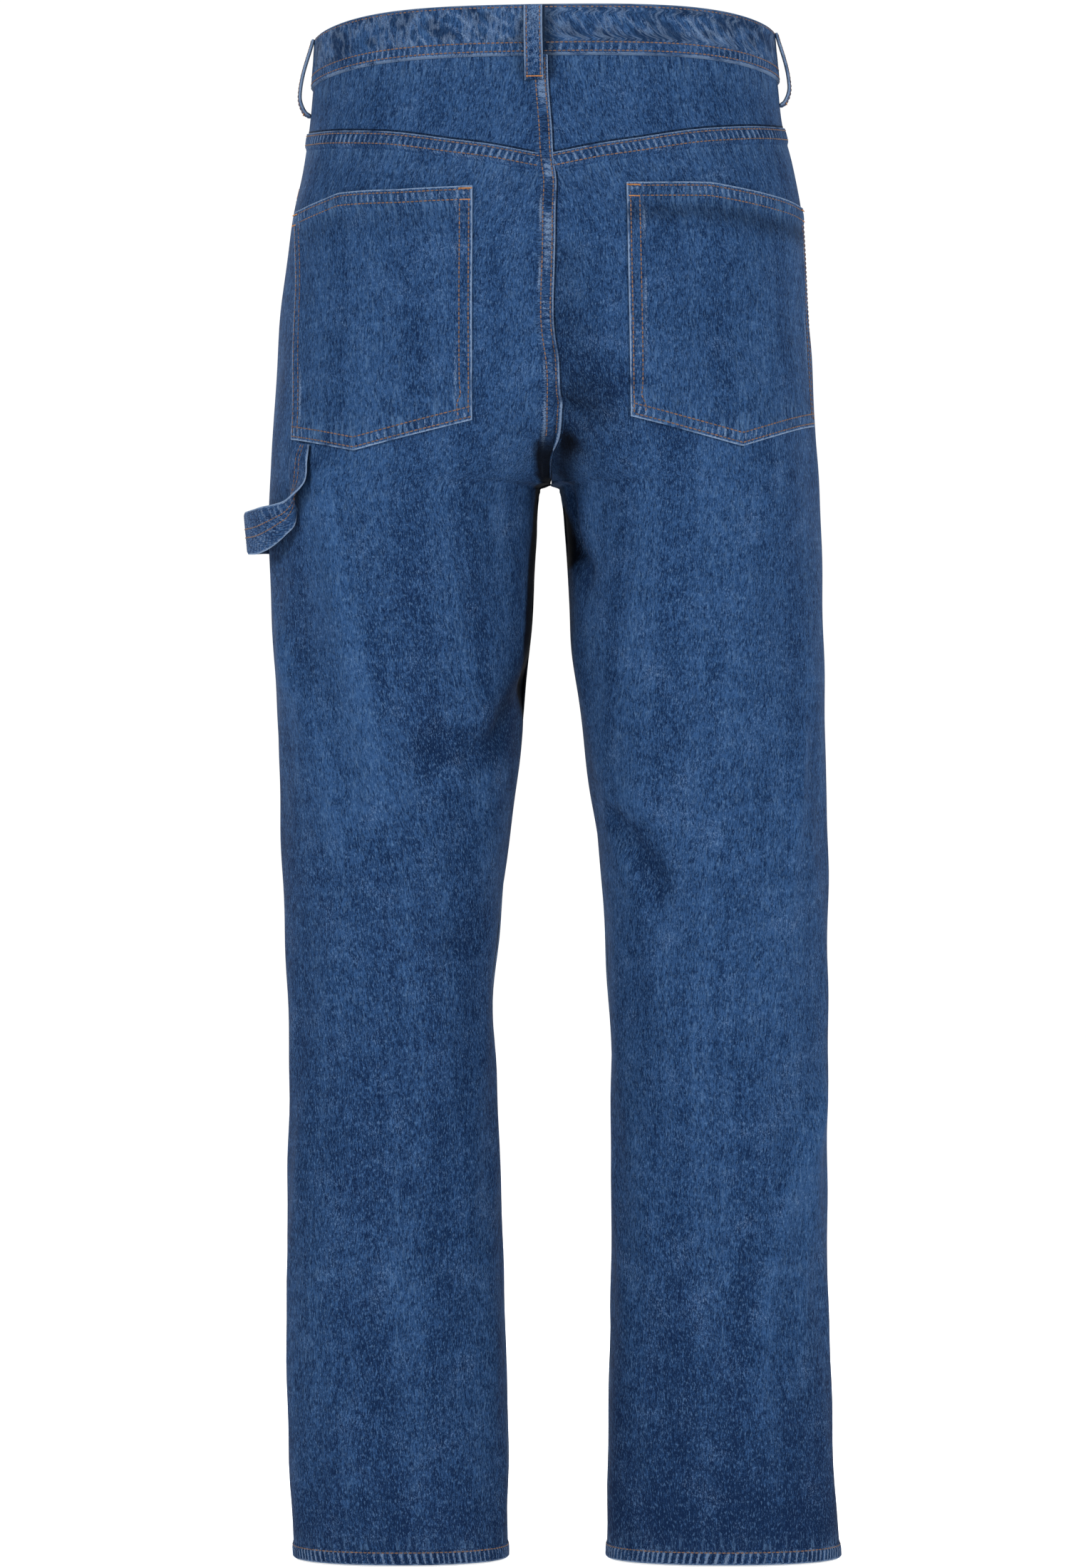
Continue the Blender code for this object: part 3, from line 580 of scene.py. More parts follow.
# %% Denim colours
DEEP = (0.0013, 0.0058, 0.0200, 1)      # indigo that the wash never reached
BLUE = (0.0019, 0.0086, 0.0305, 1)      # low spots of the twill
PALE = (0.0158, 0.0445, 0.1115, 1)      # washed high spots
FLECK = (0.0480, 0.0960, 0.1800, 1)     # weft showing through
WORN = (0.1150, 0.1650, 0.2500, 1)      # rubbed edges
# the next colour is painted shade: near black where shade falls deep in folds, inside the legs and in cast
# shadows
PAINTED_SHADE_BLUE = (0.0004, 0.0008, 0.0020, 1)  # deep inside a fold
WRONG = (0.1000, 0.1400, 0.2100, 1)     # the wrong side of the cloth


def denim(name, shade=0.0):
    """Twill with slubs, flecks, wash clouds and worn edges; shade lightens the whole. tone is 0.5 plus each
    noise's distance from 0.5 times its weight."""
    made, shader, v = paint(name)
    place = v.node("ShaderNodeUVMap", {"uv_map": "cloth"})

    def threads(across, along, detail=2.0, roughness=0.5, distortion=0.0, lean=0.0):
        """Noise with so many spots to a metre across the warp and along it, leaned by some degrees."""
        turned = {"Vector": place, "Rotation": (0.0, 0.0, math.radians(lean)), "Scale": (across, along, 1.0)}
        return v.noise(v.node("ShaderNodeMapping", {}, turned), 1.0, detail, roughness, distortion)

    grain = threads(1500.0, 900.0, 2.0, 0.6)
    streak = threads(820.0, 330.0, 2.0, 0.6)
    slub = threads(520.0, 95.0, 2.0, 0.5, 0.5)
    fleck = threads(1050.0, 330.0, 1.0, 0.5, 0.3).between(0.56, 0.70)
    rain = threads(560.0, 120.0, 3.0, 0.6, 0.6)
    bands = threads(42.0, 3.0)
    patch = v.noise(v.object_place(), 40.0, 3.0, 0.6)
    mottle = threads(210.0, 110.0, 2.0, 0.55, 0.4)
    diagonal = threads(1300.0, 260.0, 1.0, lean=62.0)
    fold, crease = v.mark("fold"), v.mark("crease")
    layers = (
        (grain, 1.1), (streak, 1.0), (slub, 0.8), (diagonal, 1.0), (bands, 0.45), (patch, 0.40),
        (mottle, 0.70),
    )
    # fold holds both the folds' wear and painted shade on the legs
    tone = fold * 0.18 + (shade + 0.5 - 0.5 * sum(weight for _, weight in layers))
    for layer, weight in layers:
        tone = tone + layer * weight
    wet = rain.between(0.53, 0.66) * (bands + fold * 0.10).between(0.40, 0.62)
    fringe = threads(420.0, 50.0).between(0.50, 0.66) * v.mark("fringe")
    rope = v.mark("rope") + (grain - 0.5) * 1.8 + (streak - 0.5) * 1.2 + (patch - 0.5) * 1.3
    wander = threads(80.0, 28.0, 3.0, 0.6, lean=-28.0) - 0.5
    wrinkle = wander.math("ABSOLUTE").between(0.06, 0.0) * crease
    blotch = threads(48.0, 60.0).between(0.54, 0.40) * crease
    edge = v.mark("edge") + (streak - 0.5) * 0.0030 + (grain - 0.5) * 0.0012
    rubbed = edge.between(0.0013, 0.0004) * v.mark("worn") * (patch * 1.6).between(0.45, 0.75)
    colour = v.blend(tone.between(0.05, 0.95), BLUE, PALE)
    for factor, layer_colour in (
        (wet * 0.38, FLECK),
        (fleck * 0.48, FLECK),
        (fringe * 0.45, FLECK),
        (rope.between(0.20, 0.95) * 0.55, WORN),
        (rope.between(-0.20, -1.00) * 0.60, DEEP),
        (blotch * 0.60, DEEP),
        (wrinkle * (grain * 2.0 - 0.4) * 0.42, WORN),
        (rubbed * 0.85, WORN),
        (v.mark("wrong_side") * 0.75, WRONG),
        # the dark mark: painted shade and painted shadows
        (v.mark("dark"), PAINTED_SHADE_BLUE),
    ):
        colour = v.blend(factor, colour, layer_colour)
    height = streak * 0.6 + diagonal * 0.5 + grain * 0.5 + wrinkle * 0.6
    finish_paint(shader, colour, height, 0.32, 0.0006, 0.90)
    shader.inputs["Specular IOR Level"].default_value = 0.05
    return made


DENIM = denim("washed_denim")
DENIM_ROPED = denim("washed_denim_doubled", shade=0.04)

# %% [markdown]
# ## Leg panels and yokes
# The back of each leg is one piece from the yoke to the hem and from the side seam to the inside leg seam,
# and so is the front. Rows stand closest together round the crotch, where the inner edge turns fastest.
# %% Panel grids
YOKE_ANGLE = np.radians(column(YOKE_SEAM, "angle", YOKE_COLUMNS))
YOKE_LEVEL = column(YOKE_SEAM, "level", YOKE_COLUMNS)
MOUTH_ANGLE = np.radians(-column(MOUTH, "angle", MOUTH_COLUMNS))
MOUTH_LEVEL = column(MOUTH, "level", MOUTH_COLUMNS)
BACK_LEVELS = (
    -0.0850, -0.118, -0.150, -0.178, -0.202, -0.224, -0.243, -0.260, -0.275, -0.287, -0.296, -0.3020, -0.3045,
    -0.309, -0.317, -0.330, -0.348, -0.370, -0.396, -0.426, -0.460, -0.496, -0.536, -0.580, -0.628, -0.680,
    -0.740, -0.810, -0.890, -0.975, HEM_TOP,
)
FRONT_LEVELS = (WAIST_BOTTOM, -0.050, -0.084) + BACK_LEVELS[1:]


def angle_at(share, level):
    """Angle of a column, its share of the way from the side seam to the inner edge. Only the columns next to
    the inner edge follow its fast turn at once: share E1 + share^4 (E - E1)."""
    end = inner_end(level)
    slow = np.minimum(math.pi / 2 * (1 + ease(-level, 0.20, 0.46)), end)
    return share * slow + share**4 * (end - slow)


def finer(levels, times):
    """The same rows with `times` - 1 more between each two."""
    index = np.arange(len(levels))
    return np.interp(np.linspace(0, len(levels) - 1, (len(levels) - 1) * times + 1), index, levels)


def yoke_level(share):
    return smooth_read(YOKE_ANGLE, YOKE_LEVEL, share * math.pi / 2)


def mouth_at(angle):
    """Level of the front pocket's mouth, at its end's level beyond that."""
    return smooth_read(MOUTH_ANGLE, MOUTH_LEVEL, np.minimum(angle, MOUTH_ANGLE[-1]))


def mouth_level(share):
    """Upper edge of the front panel: the pocket mouth up to its end, then the waistband seam."""
    angle = share * math.pi / 2
    return np.where(angle < MOUTH_ANGLE[-1], mouth_at(angle), WAIST_BOTTOM)


def leg_panel(face, top_of, levels):
    """Angles and levels of a leg panel: rows blend from its upper edge to the hem."""
    share = np.linspace(0, 1, PANEL_COLUMNS)
    levels = finer(levels, 6)
    down = ((levels - levels[0]) / (levels[-1] - levels[0]))[:, None]
    level = top_of(share)[None, :] * (1 - down) + levels[-1] * down
    return face * angle_at(share[None, :], level), level


def straight_grid(share, top, low, rows):
    """Angles and levels of a piece whose columns run straight down from one edge to the other."""
    down = np.linspace(0, 1, rows)[:, None]
    return np.tile(share * math.pi / 2, (rows, 1)), top * (1 - down) + low * down


def flat_marks(outer, **marks):
    """The marks that the denim reads, for a grid of points: by default a plain piece far from any worn edge.
    rope is 1 where a bar is rubbed pale and -1 where the cloth beside it stayed dark; dark is painted shade."""
    plain = {"edge": 0.05, "rope": 0.0, "worn": 0.0, "fringe": 0.0, "fold": 0.0, "dark": 0.0, "crease": 0.0}
    every = {mark: value * np.ones(outer.shape[:2]) for mark, value in (plain | marks).items()}
    return {"u": run_length(outer, 1), "v": -run_length(outer, 0)} | every


def loop_shade(points, width):
    """Painted shadow of the centre back loop: 1 on the cloth behind the loop, fading out at `width` from its
    middle.
    """
    return (1 - ease(np.abs(points[..., 0] - LOOP_X), 0.005, width)) * (points[..., 1] > 0)


PANEL_COLUMNS = 97
YOKE_ROWS = 36
LOOP_X = 0.0025
for side in (1, -1):
    for part, face, top_of, levels in (
        ("back_", 1, yoke_level, BACK_LEVELS),
        ("front_", -1, mouth_level, FRONT_LEVELS),
    ):
        angle, level = leg_panel(face, top_of, levels)
        outer, inner = garment(side, angle, level), garment(side, angle, level, -DENIM_WALL)
        from_top = run_length(outer, 0)
        from_hem = from_top[-1:] - from_top
        fringe = np.maximum(1 - ease(from_top, 0.014, 0.034), 1.3 * (1 - ease(from_hem, 0.002, 0.014)))
        # fold: ridges worn paler and troughs darker by the folds' height; the lines after it add painted
        # shade, darker just above the hem, down the lower legs, on the left leg from thigh to calf and low on
        # the right leg
        fold = np.clip(fold_height(side, angle, level) / 0.003, -1, 1)
        fold = fold - 0.7 * (1 - ease(from_hem, 0.010, 0.060)) - 0.7 * ease(-level, 0.60, 1.05)
        if side > 0:
            fold = fold - 0.45 * ease(-level, 0.28, 0.36) * (1 - ease(-level, 0.75, 0.95))
        else:
            fold = fold - 0.7 * ease(-level, 0.80, 1.04)
        # dark: painted shade, soft along the lines above and near black in the unlit insides of the legs
        dark = fold_height(side, angle, level, PAINTED_SHADE_LINES) + 0.95 * shadow(side, np.abs(angle), level)
        marks = flat_marks(outer, fringe=fringe, fold=fold, dark=np.clip(dark, 0, 0.95))
        cloth(part + SIDE_NAME[side], outer, inner, DENIM, marks, ["waistband"], held="hung")
    share = np.linspace(0, 1, PANEL_COLUMNS)
    angle, level = straight_grid(share, WAIST_BOTTOM, yoke_level(share), YOKE_ROWS)
    outer, inner = garment(side, angle, level), garment(side, angle, level, -DENIM_WALL)
    from_top = run_length(outer, 0)
    # painted shadow of the centre back loop, near the yoke's top
    dark = 0.55 * loop_shade(outer, 0.015) * (1 - ease(from_top, 0.014, 0.026))
    marks = flat_marks(outer, fringe=0.8 * (1 - ease(from_top, 0.004, 0.024)), dark=dark)
    cloth("yoke_" + SIDE_NAME[side], outer, inner, DENIM, marks, ["waistband"], held="hung")

# %% [markdown]
# ## Felled seams
# The yoke and centre back seams are felled: one edge is folded under, laid over the other piece and sewn
# down with two rows. That makes a raised band about 12 mm wide with a worn fold. The band is its own thin
# piece, rounded at the fold, so that it throws the fine shadow that the real one does, and a painted shadow
# line lies beside its fold.


# %% Seam bands
def back_point(x, level, out):
    """A point on the back at x metres to the wearer's left, on whichever side of the centre seam that is."""
    left = garment(1, angle_of(1, x, level), level, out)
    right = garment(-1, angle_of(-1, -x, level), level, out)
    centre = body("centre", np.asarray(level, float))
    return np.where((x >= centre)[..., None], left, right)


def rolled(edge, radius=0.0012):
    """0 at a folded edge and 1 a little way in, along a quarter circle."""
    return np.sqrt(np.clip(1 - (1 - np.clip(edge / radius, 0, 1)) ** 2, 0, 1))


def bell(distance, width):
    return np.exp(-((distance / width) ** 2))


def shaken(along, fast, slow, seed=0.0):
    """A sine along a row whose phase a slower one shakes, so that its waves come unevenly."""
    return np.sin(along * fast + 2 * np.sin(along * slow + seed))


def roping(along, edge, seed, lean=180.0):
    """Bars across a sewn band, between -1 and 1: a sine along it every 4.8 mm, its phase and its strength
    shaken by slower sines, and leaning as it crosses the band."""
    phase = math.tau * along / 0.0048 + 0.9 * np.sin(along * 97 + seed) + 0.7 * np.sin(along * 231 + 2 * seed)
    return np.sin(phase + lean * edge) * (0.80 + 0.20 * np.sin(along * 57 + 3 * seed))


def between_rows(edge, first):
    """1 between the two rows of a twin topstitch and 0 outside them."""
    second = first + ROW_APART
    return ease(edge, first, first + 0.0014) * (1 - ease(edge, second - 0.0010, second + 0.0008))


def needle_grooves(edge, rows):
    """The cloth pulled down along its rows of stitches: a narrow bell on each."""
    return -0.00030 * sum(bell(edge - row, 0.0007) for row in rows)


BAND_WIDTH = 0.0125
FOLD_RADIUS = 0.0012
# the three columns before the fold are a skirt lying on the cloth beside it, which carries a painted shadow
# line
ACROSS = np.concatenate([
    [-0.0015, -0.0011, -0.0003],
    np.linspace(0, FOLD_RADIUS, 4)[:-1],
    np.linspace(FOLD_RADIUS, BAND_WIDTH, 20),
])
BAND_ROW = 0.0022
BAND_ROWS = (BAND_ROW, BAND_ROW + ROW_APART)


def band_piece(name, place, along, lift, seed, bars, ridge, wear=0.0, painted_shade=0.0):
    """A raised band. place(across, along, out) gives its points; across runs from the worn fold, with a
    narrow painted shadow line beside it. bars is how much rope-like wear it has, ridge how pale its far
    margin is, wear the pale and dark stretches along it, and painted_shade how much painted shade darkens it
    past its edge."""
    a, s = np.meshgrid(ACROSS, along, indexing="ij")
    length = run_length(place(a, s, np.zeros_like(a)), 1)
    rope = roping(length, a, seed) * between_rows(a, BAND_ROW) * bars
    rise = lift * rolled(a, FOLD_RADIUS) * (1 - ease(a, BAND_WIDTH - 0.0030, BAND_WIDTH))
    outer = place(a, s, rise + 0.00022 * rope + needle_grooves(a, BAND_ROWS) + 0.0001)
    inner = place(a, s, np.full_like(a, -0.0004))
    far = bell(a - BAND_WIDTH + 0.0022, 0.0012) * ridge * (0.5 + 0.5 * shaken(length, 83, 37, seed))
    # beside: a painted shadow just outside the fold
    beside = 0.75 * ease(-a, 0.0, 0.0004) * (1 - ease(-a, 0.0011, 0.0015))
    dark = np.maximum(painted_shade * ease(a, 0.0010, 0.0024), beside)
    rope = rope + far + wear * between_rows(a, BAND_ROW - 0.0010)
    marks = flat_marks(outer, edge=np.where(a < 0, 0.05, a), rope=rope, worn=1.0, dark=dark, fold=-0.5)
    cloth(name, outer, inner, DENIM_ROPED, marks, ["back_left", "back_right"])


RISE_LEVEL = column(RISE_FOLD, "level", RISE_COLUMNS)
RISE_X = column(RISE_FOLD, "x", RISE_COLUMNS)


def rise_fold(level):
    return smooth_read(RISE_LEVEL, RISE_X, level)


def rise_place(across, level, out):
    """The centre back band, a little more than half as wide where the crotch's fold hides it."""
    narrow = 1 - 0.45 * ease(-np.asarray(level, float), 0.275, 0.298)
    return back_point(rise_fold(level) + across * narrow, level, out)


def yoke_place(side):
    def place(across, share, out):
        return garment(side, share * math.pi / 2, yoke_level(share) - across, out)

    return place


RISE_LIFT, YOKE_LIFT = 0.0016, 0.0013
RISE_WEAR_COLUMNS = ("level", "wear")
RISE_WEAR = (
    (-0.018, 0.3), (-0.034, 0.6), (-0.050, 0.4), (-0.056, -0.5), (-0.074, -0.5), (-0.084, 0.1), (-0.092, 0.6),
    (-0.101, 0.5), (-0.107, -0.5), (-0.119, -0.4), (-0.125, 0.5), (-0.140, 0.6), (-0.158, 0.4),
    (-0.170, -0.1), (-0.185, 0.3), (-0.205, 0.1), (-0.225, 0.3), (-0.250, 0.1), (-0.268, 0.0), (-0.299, -0.3),
)
rise_levels = np.linspace(WAIST_BOTTOM, -0.2985, 420)
rise_wear = smooth_read(
    column(RISE_WEAR, "level", RISE_WEAR_COLUMNS), column(RISE_WEAR, "wear", RISE_WEAR_COLUMNS), rise_levels)
# painted shade over the band where it runs into the dark crotch
rise_painted_shade = 0.95 * ease(-rise_levels, 0.262, 0.284)
band_piece("seam_centre_back", rise_place, rise_levels, RISE_LIFT, 1.0, 0.30, 0.9, rise_wear, rise_painted_shade)
for side in (1, -1):
    share = np.linspace(0.0, 1.0, 380)
    band_piece("seam_yoke_" + SIDE_NAME[side], yoke_place(side), share, YOKE_LIFT, 2.0 + side, 0.9, 0.3)

# %% [markdown]
# ## Patch pockets
# Each back pocket is cut with a point at its foot. Its sides and foot are turned under by 12 mm, and its
# mouth is hemmed 11 mm deep. The turnings show as raised margins, so the grid carries them as small steps
# in height.

# %% Back pockets
TURNING = 0.0120
POCKET_HEM = 0.0112
POCKET_ROW = 0.0024
POCKET_ROWS = (POCKET_ROW, POCKET_ROW + ROW_APART)
POCKET_LIFT = 0.0020
POCKET_SIZE = (0.160, 0.175)


def margin_steps(length, fine, coarse):
    """0 to 1 in steps that are fine within 13 mm of both ends."""
    near = 0.013 / length
    return np.concatenate([
        np.linspace(0, near, fine, endpoint=False),
        np.linspace(near, 1 - near, coarse, endpoint=False),
        np.linspace(1 - near, 1, fine),
    ])


def edge_line(edge, share):
    """Distance out from the middle and level of points a share of the way along a pocket's mouth or foot."""
    edge = np.array(edge)
    x = edge[0, 0] + (edge[-1, 0] - edge[0, 0]) * share
    return x, np.interp(x, edge[::-1, 0], edge[::-1, 1])


def pocket_grid(side):
    """Distance out and level of a pocket's points: straight columns from its mouth to its foot."""
    s, t = margin_steps(POCKET_SIZE[0], 15, 76), margin_steps(POCKET_SIZE[1], 15, 104)[:, None]
    top_x, top_level = edge_line(POCKET_TOP[side], s)
    foot_x, foot_level = edge_line(POCKET_FOOT[side], s)
    return top_x * (1 - t) + foot_x * t, top_level * (1 - t) + foot_level * t


def turned(distance, width, height):
    """A turned-under margin: `height` up to `width` from the edge, then eased down."""
    return height * (1 - ease(distance, width - 0.0012, width + 0.0012))


for side in (1, -1):
    x, level = pocket_grid(side)
    angle = angle_of(side, x, level)
    base = garment(side, angle, level)
    over, down = run_length(base, 1), run_length(base, 0)
    from_outer, from_inner = over, over[:, -1:] - over
    from_top, from_foot = down, down[-1:] - down
    from_side = np.minimum(from_outer, from_inner)
    near_side = np.minimum(from_side, from_foot)
    near = np.minimum(near_side, from_top)
    mouth_bars = roping(over, from_top, 4.0 + side) * between_rows(from_top, POCKET_ROW)
    foot_bars = roping(over, from_foot, 6.0 + side) * between_rows(from_foot, POCKET_ROW) * 0.9
    side_bars = sum(roping(down, away, 8.0 + side) * between_rows(away, POCKET_ROW) * 0.45
                    for away in (from_outer, from_inner))
    bars = mouth_bars + foot_bars + side_bars
    ridge = bell(from_side - TURNING + 0.0004, 0.0013) * (0.5 + 0.5 * shaken(down, 71, 29, side))
    height = POCKET_LIFT * (0.60 + 0.15 * rolled(near, 0.0010)) + turned(near_side, TURNING, 0.0005)
    height = height + turned(from_top, POCKET_HEM, 0.0006) + 0.00020 * bars
    height = height + needle_grooves(near_side, POCKET_ROWS) + needle_grooves(from_top, POCKET_ROWS)
    slack = 0.0012 * np.sin(math.pi * over / over[:, -1:]) * (1 - ease(from_top, 0.0, 0.05))
    outer = garment(side, angle, level, height + slack)
    inner = garment(side, angle, level, 0.0002 + slack * 0.9)
    fringe = np.maximum(1 - ease(from_top, 0.011, 0.030), 1 - ease(from_foot, 0.011, 0.030))
    # painted shadow under the pocket's hemmed mouth, strong on the right pocket
    painted_mouth_shadow = bell(from_top - 0.021, 0.008) * (0.42 if side < 0 else 0.10)
    rope = np.clip(bars + ridge * 0.8, -1, 1)
    marks = flat_marks(outer, edge=near, rope=rope, worn=1.0, fringe=fringe, dark=painted_mouth_shadow)
    cloth("back_pocket_" + SIDE_NAME[side], outer, inner, DENIM, marks, ["back_" + SIDE_NAME[side]])

# %% [markdown]
# ## Waistband, hems and front pocket facings
# The waistband is a straight strip folded over the top edge. Sewn on the curve, its cloth twists a little,
# which washing turns into slanted pale bars. The hems are turned up twice, 10 mm deep.


# %% Bands that run all the way round
def whole_ring(level, out):
    """Points round the whole body, from the back centre to the wearer's left and on round."""
    half = WAIST_COLUMNS // 2
    left = np.linspace(math.pi / 2, -math.pi / 2, half, endpoint=False)
    out = np.broadcast_to(out, (len(level), WAIST_COLUMNS))
    halves_of_it = garment(1, left, level, out[:, :half]), garment(-1, -left, level, out[:, half:])
    return np.concatenate(halves_of_it, axis=1)


def slanted_wear(along, across, seed):
    """Uneven slanted wrinkles of a band that twists as it is sewn: two leaning sines with shaken phases,
    strong only in places."""
    first = np.sin(along * 560 + across * 620 + 2.2 * np.sin(along * 43 + seed) + 1.2 * np.sin(along * 171))
    second = np.sin(along * 960 - across * 240 + 2.0 * np.sin(along * 67 + 2 * seed))
    strong = 0.55 + 0.45 * np.sin(along * 29 + seed) * np.sin(along * 13 + 1)
    return np.clip((first * 0.85 + second * 0.15) * strong, -1, 1)


WAIST_COLUMNS = 880
WAIST_GIRTH = 0.90
WAIST_ROWS = (WAIST_BOTTOM + 0.0026, WAIST_BOTTOM + 0.0026 + 0.0059)
levels = np.linspace(WAIST_TOP, WAIST_BOTTOM - 0.0004, 30)[:, None]
around = np.linspace(0, WAIST_GIRTH, WAIST_COLUMNS)
from_top = WAIST_TOP - levels
from_low = levels - levels[-1]
middle_part = ease(from_top, 0.0005, 0.003) * ease(from_low, 0.0085, 0.0105)
low_part = between_rows(from_low, 0.0024)
pale_foot = (1 - ease(from_low, 0.0010, 0.0021)) * (0.85 + 0.20 * shaken(around, 211, 57))
near_rows = bell(from_low - 0.0105, 0.0035) + bell(from_top - 0.0040, 0.0028)
pucker = roping(around, from_top, 5.0, 500.0) * near_rows * 0.6
wear = (slanted_wear(around, from_top, 0.6) * 0.60 + pucker) * middle_part
rope = wear + roping(around, from_low, 9.0) * low_part * 0.8 + pale_foot
lift = 0.0004 + 0.0012 * rolled(np.minimum(from_top, from_low)) + 0.0003 * wear
lift = lift + 0.0002 * (rope - wear) * low_part + needle_grooves(levels, WAIST_ROWS)
outer, inner = whole_ring(levels, lift), whole_ring(levels, -0.0014)
# painted shadow of the centre back loop on the band
dark = 0.60 * loop_shade(outer, 0.016)
marks = flat_marks(outer, edge=from_top, rope=rope, worn=0.6, crease=middle_part, dark=dark)
cloth("waistband", outer, inner, DENIM_ROPED, marks, ["yoke_left", "yoke_right"], closed=True)

HEM_COLUMNS = 400
HEM_ROW = 0.0088
LEG_RADIUS = 0.072
FACING_DEPTH = 0.012     # how far a facing goes on below the mouth's edge
for side in (1, -1):
    turn = np.linspace(0, math.tau, HEM_COLUMNS, endpoint=False)
    turn = (turn + math.pi) % math.tau - math.pi
    levels = np.linspace(HEM_TOP + 0.0012, HEM_BOTTOM, 16)[:, None]
    from_low, from_high = levels - levels[-1], levels[0] - levels
    around = turn * LEG_RADIUS
    bars = roping(around * 1.1, from_low, 3.0 + side, 260.0) * ease(from_low, 0.0003, 0.0015)
    pale_row = bell(from_low - HEM_ROW, 0.0012) * (0.2 + 0.4 * (0.5 + 0.5 * shaken(around, 390, 101, side)))
    rope = 1.3 * bars * (1 - ease(from_low, HEM_ROW - 0.0012, HEM_ROW)) + pale_row
    lift = 0.0002 + 0.0007 * rolled(from_low, 0.0010) * ease(from_high, 0.0, 0.0040) + 0.00025 * bars
    outer = garment(side, turn, levels, lift + needle_grooves(from_low, (HEM_ROW,)))
    inner = garment(side, turn, levels, -0.0014)
    # fold -1.2: painted shade, darker like the leg just above the hem
    marks = flat_marks(outer, edge=from_low, rope=rope, worn=0.9, fold=-1.2)
    panels = ["back_" + SIDE_NAME[side], "front_" + SIDE_NAME[side]]
    cloth("hem_" + SIDE_NAME[side], outer, inner, DENIM, marks, panels, closed=True)
    share = np.linspace(0, 8 / 12, 50)
    low = mouth_at(share * math.pi / 2) - FACING_DEPTH
    angle, level = straight_grid(-share, WAIST_BOTTOM - 0.0002, low, 40)
    outer, inner = garment(side, angle, level, -0.0022), garment(side, angle, level, -0.0033)
    cloth("pocket_facing_" + SIDE_NAME[side], outer, inner, DENIM, flat_marks(outer), [panels[1]])

# %% [markdown]
# ## Belt loops and the hammer strap
# A belt loop is a strip 13 mm wide, folded so that its raw edges hide behind, with a row along each side.
# The hammer strap is the same, 32 mm wide with its two rows along the middle. It leaves the back pocket's
# corner, turns over once and bends round the hip to the side seam. Both are a strip carried along a path.
# %% Strips
# name; side; angle; levels of its top and its bottom; space behind it for the belt
LOOPS = (
    ("belt_loop_back", 1, 88.6, 0.0170, -0.0350, 0.0050),
    ("belt_loop_left", 1, 4.0, 0.0165, -0.0385, 0.0057),
    ("belt_loop_right", -1, 4.0, 0.0165, -0.0350, 0.0048),
    ("belt_loop_front_left", 1, -73.0, 0.0165, -0.0345, 0.0072),
    ("belt_loop_front_right", -1, -73.0, 0.0165, -0.0345, 0.0072),
)
STRAP_COLUMNS = ("x_up", "y_up", "z_up", "x_low", "y_low", "z_low")
STRAP = (
    (0.1629, 0.1045, -0.2789, 0.1713, 0.0945, -0.2766),
    (0.1660, 0.1080, -0.2920, 0.1766, 0.0865, -0.2859),
    (0.1661, 0.1120, -0.2992, 0.1776, 0.0850, -0.2938),
    (0.1675, 0.1150, -0.3053, 0.1771, 0.0850, -0.3018),
    (0.1709, 0.1160, -0.3098, 0.1755, 0.0880, -0.3120),
    (0.1755, 0.1130, -0.3136, 0.1733, 0.0940, -0.3238),
    (0.1818, 0.1050, -0.3178, 0.1747, 0.0950, -0.3343),
    (0.1892, 0.0950, -0.3198, 0.1815, 0.0890, -0.3415),
    (0.1979, 0.0800, -0.3211, 0.1920, 0.0760, -0.3495),
    (0.2053, 0.0610, -0.3221, 0.2018, 0.0590, -0.3534),
    (0.2114, 0.0380, -0.3228, 0.2089, 0.0380, -0.3532),
    (0.2132, 0.0160, -0.3229, 0.2104, 0.0160, -0.3524),
    (0.2101, 0.0000, -0.3222, 0.2081, 0.0000, -0.3518),
    (0.2035, -0.0110, -0.3215, 0.2030, -0.0110, -0.3512),
    (0.1985, -0.0200, -0.3212, 0.1985, -0.0200, -0.3510),
)
STRIP_SKIN = {}
STRIP_ROWS = 15
STITCHED_ROWS = (2, STRIP_ROWS - 3)
MIDDLE_ROW = STRIP_ROWS // 2
LOOP_POINTS = 60
STRAP_POINTS = 150


def along_curve(points, count):
    """A smooth curve through a few points, evenly read: cubic pieces against the length between them."""
    length = run_length(points, 0)
    at = np.linspace(0, length[-1], count)
    return np.stack([smooth_read(length, points[:, k], at) for k in range(3)], -1)


def strip(name, one_edge, other_edge, wall, wear, pale, sewn_to):
    """A flat strap between two edges, its faces rounded towards them. It keeps the surface that its stitches
    lie on."""
    s = np.linspace(0, 1, STRIP_ROWS)[:, None, None]
    middle = one_edge[None] * (1 - s) + other_edge[None] * s
    across = np.broadcast_to((other_edge - one_edge)[None], middle.shape)
    out = np.cross(np.gradient(middle, axis=1), across)
    out = out / np.linalg.norm(out, axis=-1, keepdims=True)
    width = np.linalg.norm(other_edge - one_edge, axis=1)[None]
    near = np.minimum(s[..., 0], 1 - s[..., 0]) * width
    round_off = np.maximum(rolled(near), 0.2)[..., None]
    length = run_length(middle, 1)
    rope = slanted_wear(length * 1.7, s[..., 0] * width, wall * 5000) * wear * ease(near, 0.0004, 0.002)
    outer = middle + out * (wall / 2 * round_off + 0.0002 * rope[..., None])
    inner = middle - out * wall / 2 * round_off
    marks = flat_marks(outer, edge=near, rope=rope + pale, worn=1.0)
    marks["u"], marks["v"] = s[..., 0] * width, length
    STRIP_SKIN[name] = (middle, out, wall)
    cloth(name, outer, inner, DENIM_ROPED, marks, sewn_to, wrong_side=0.0)


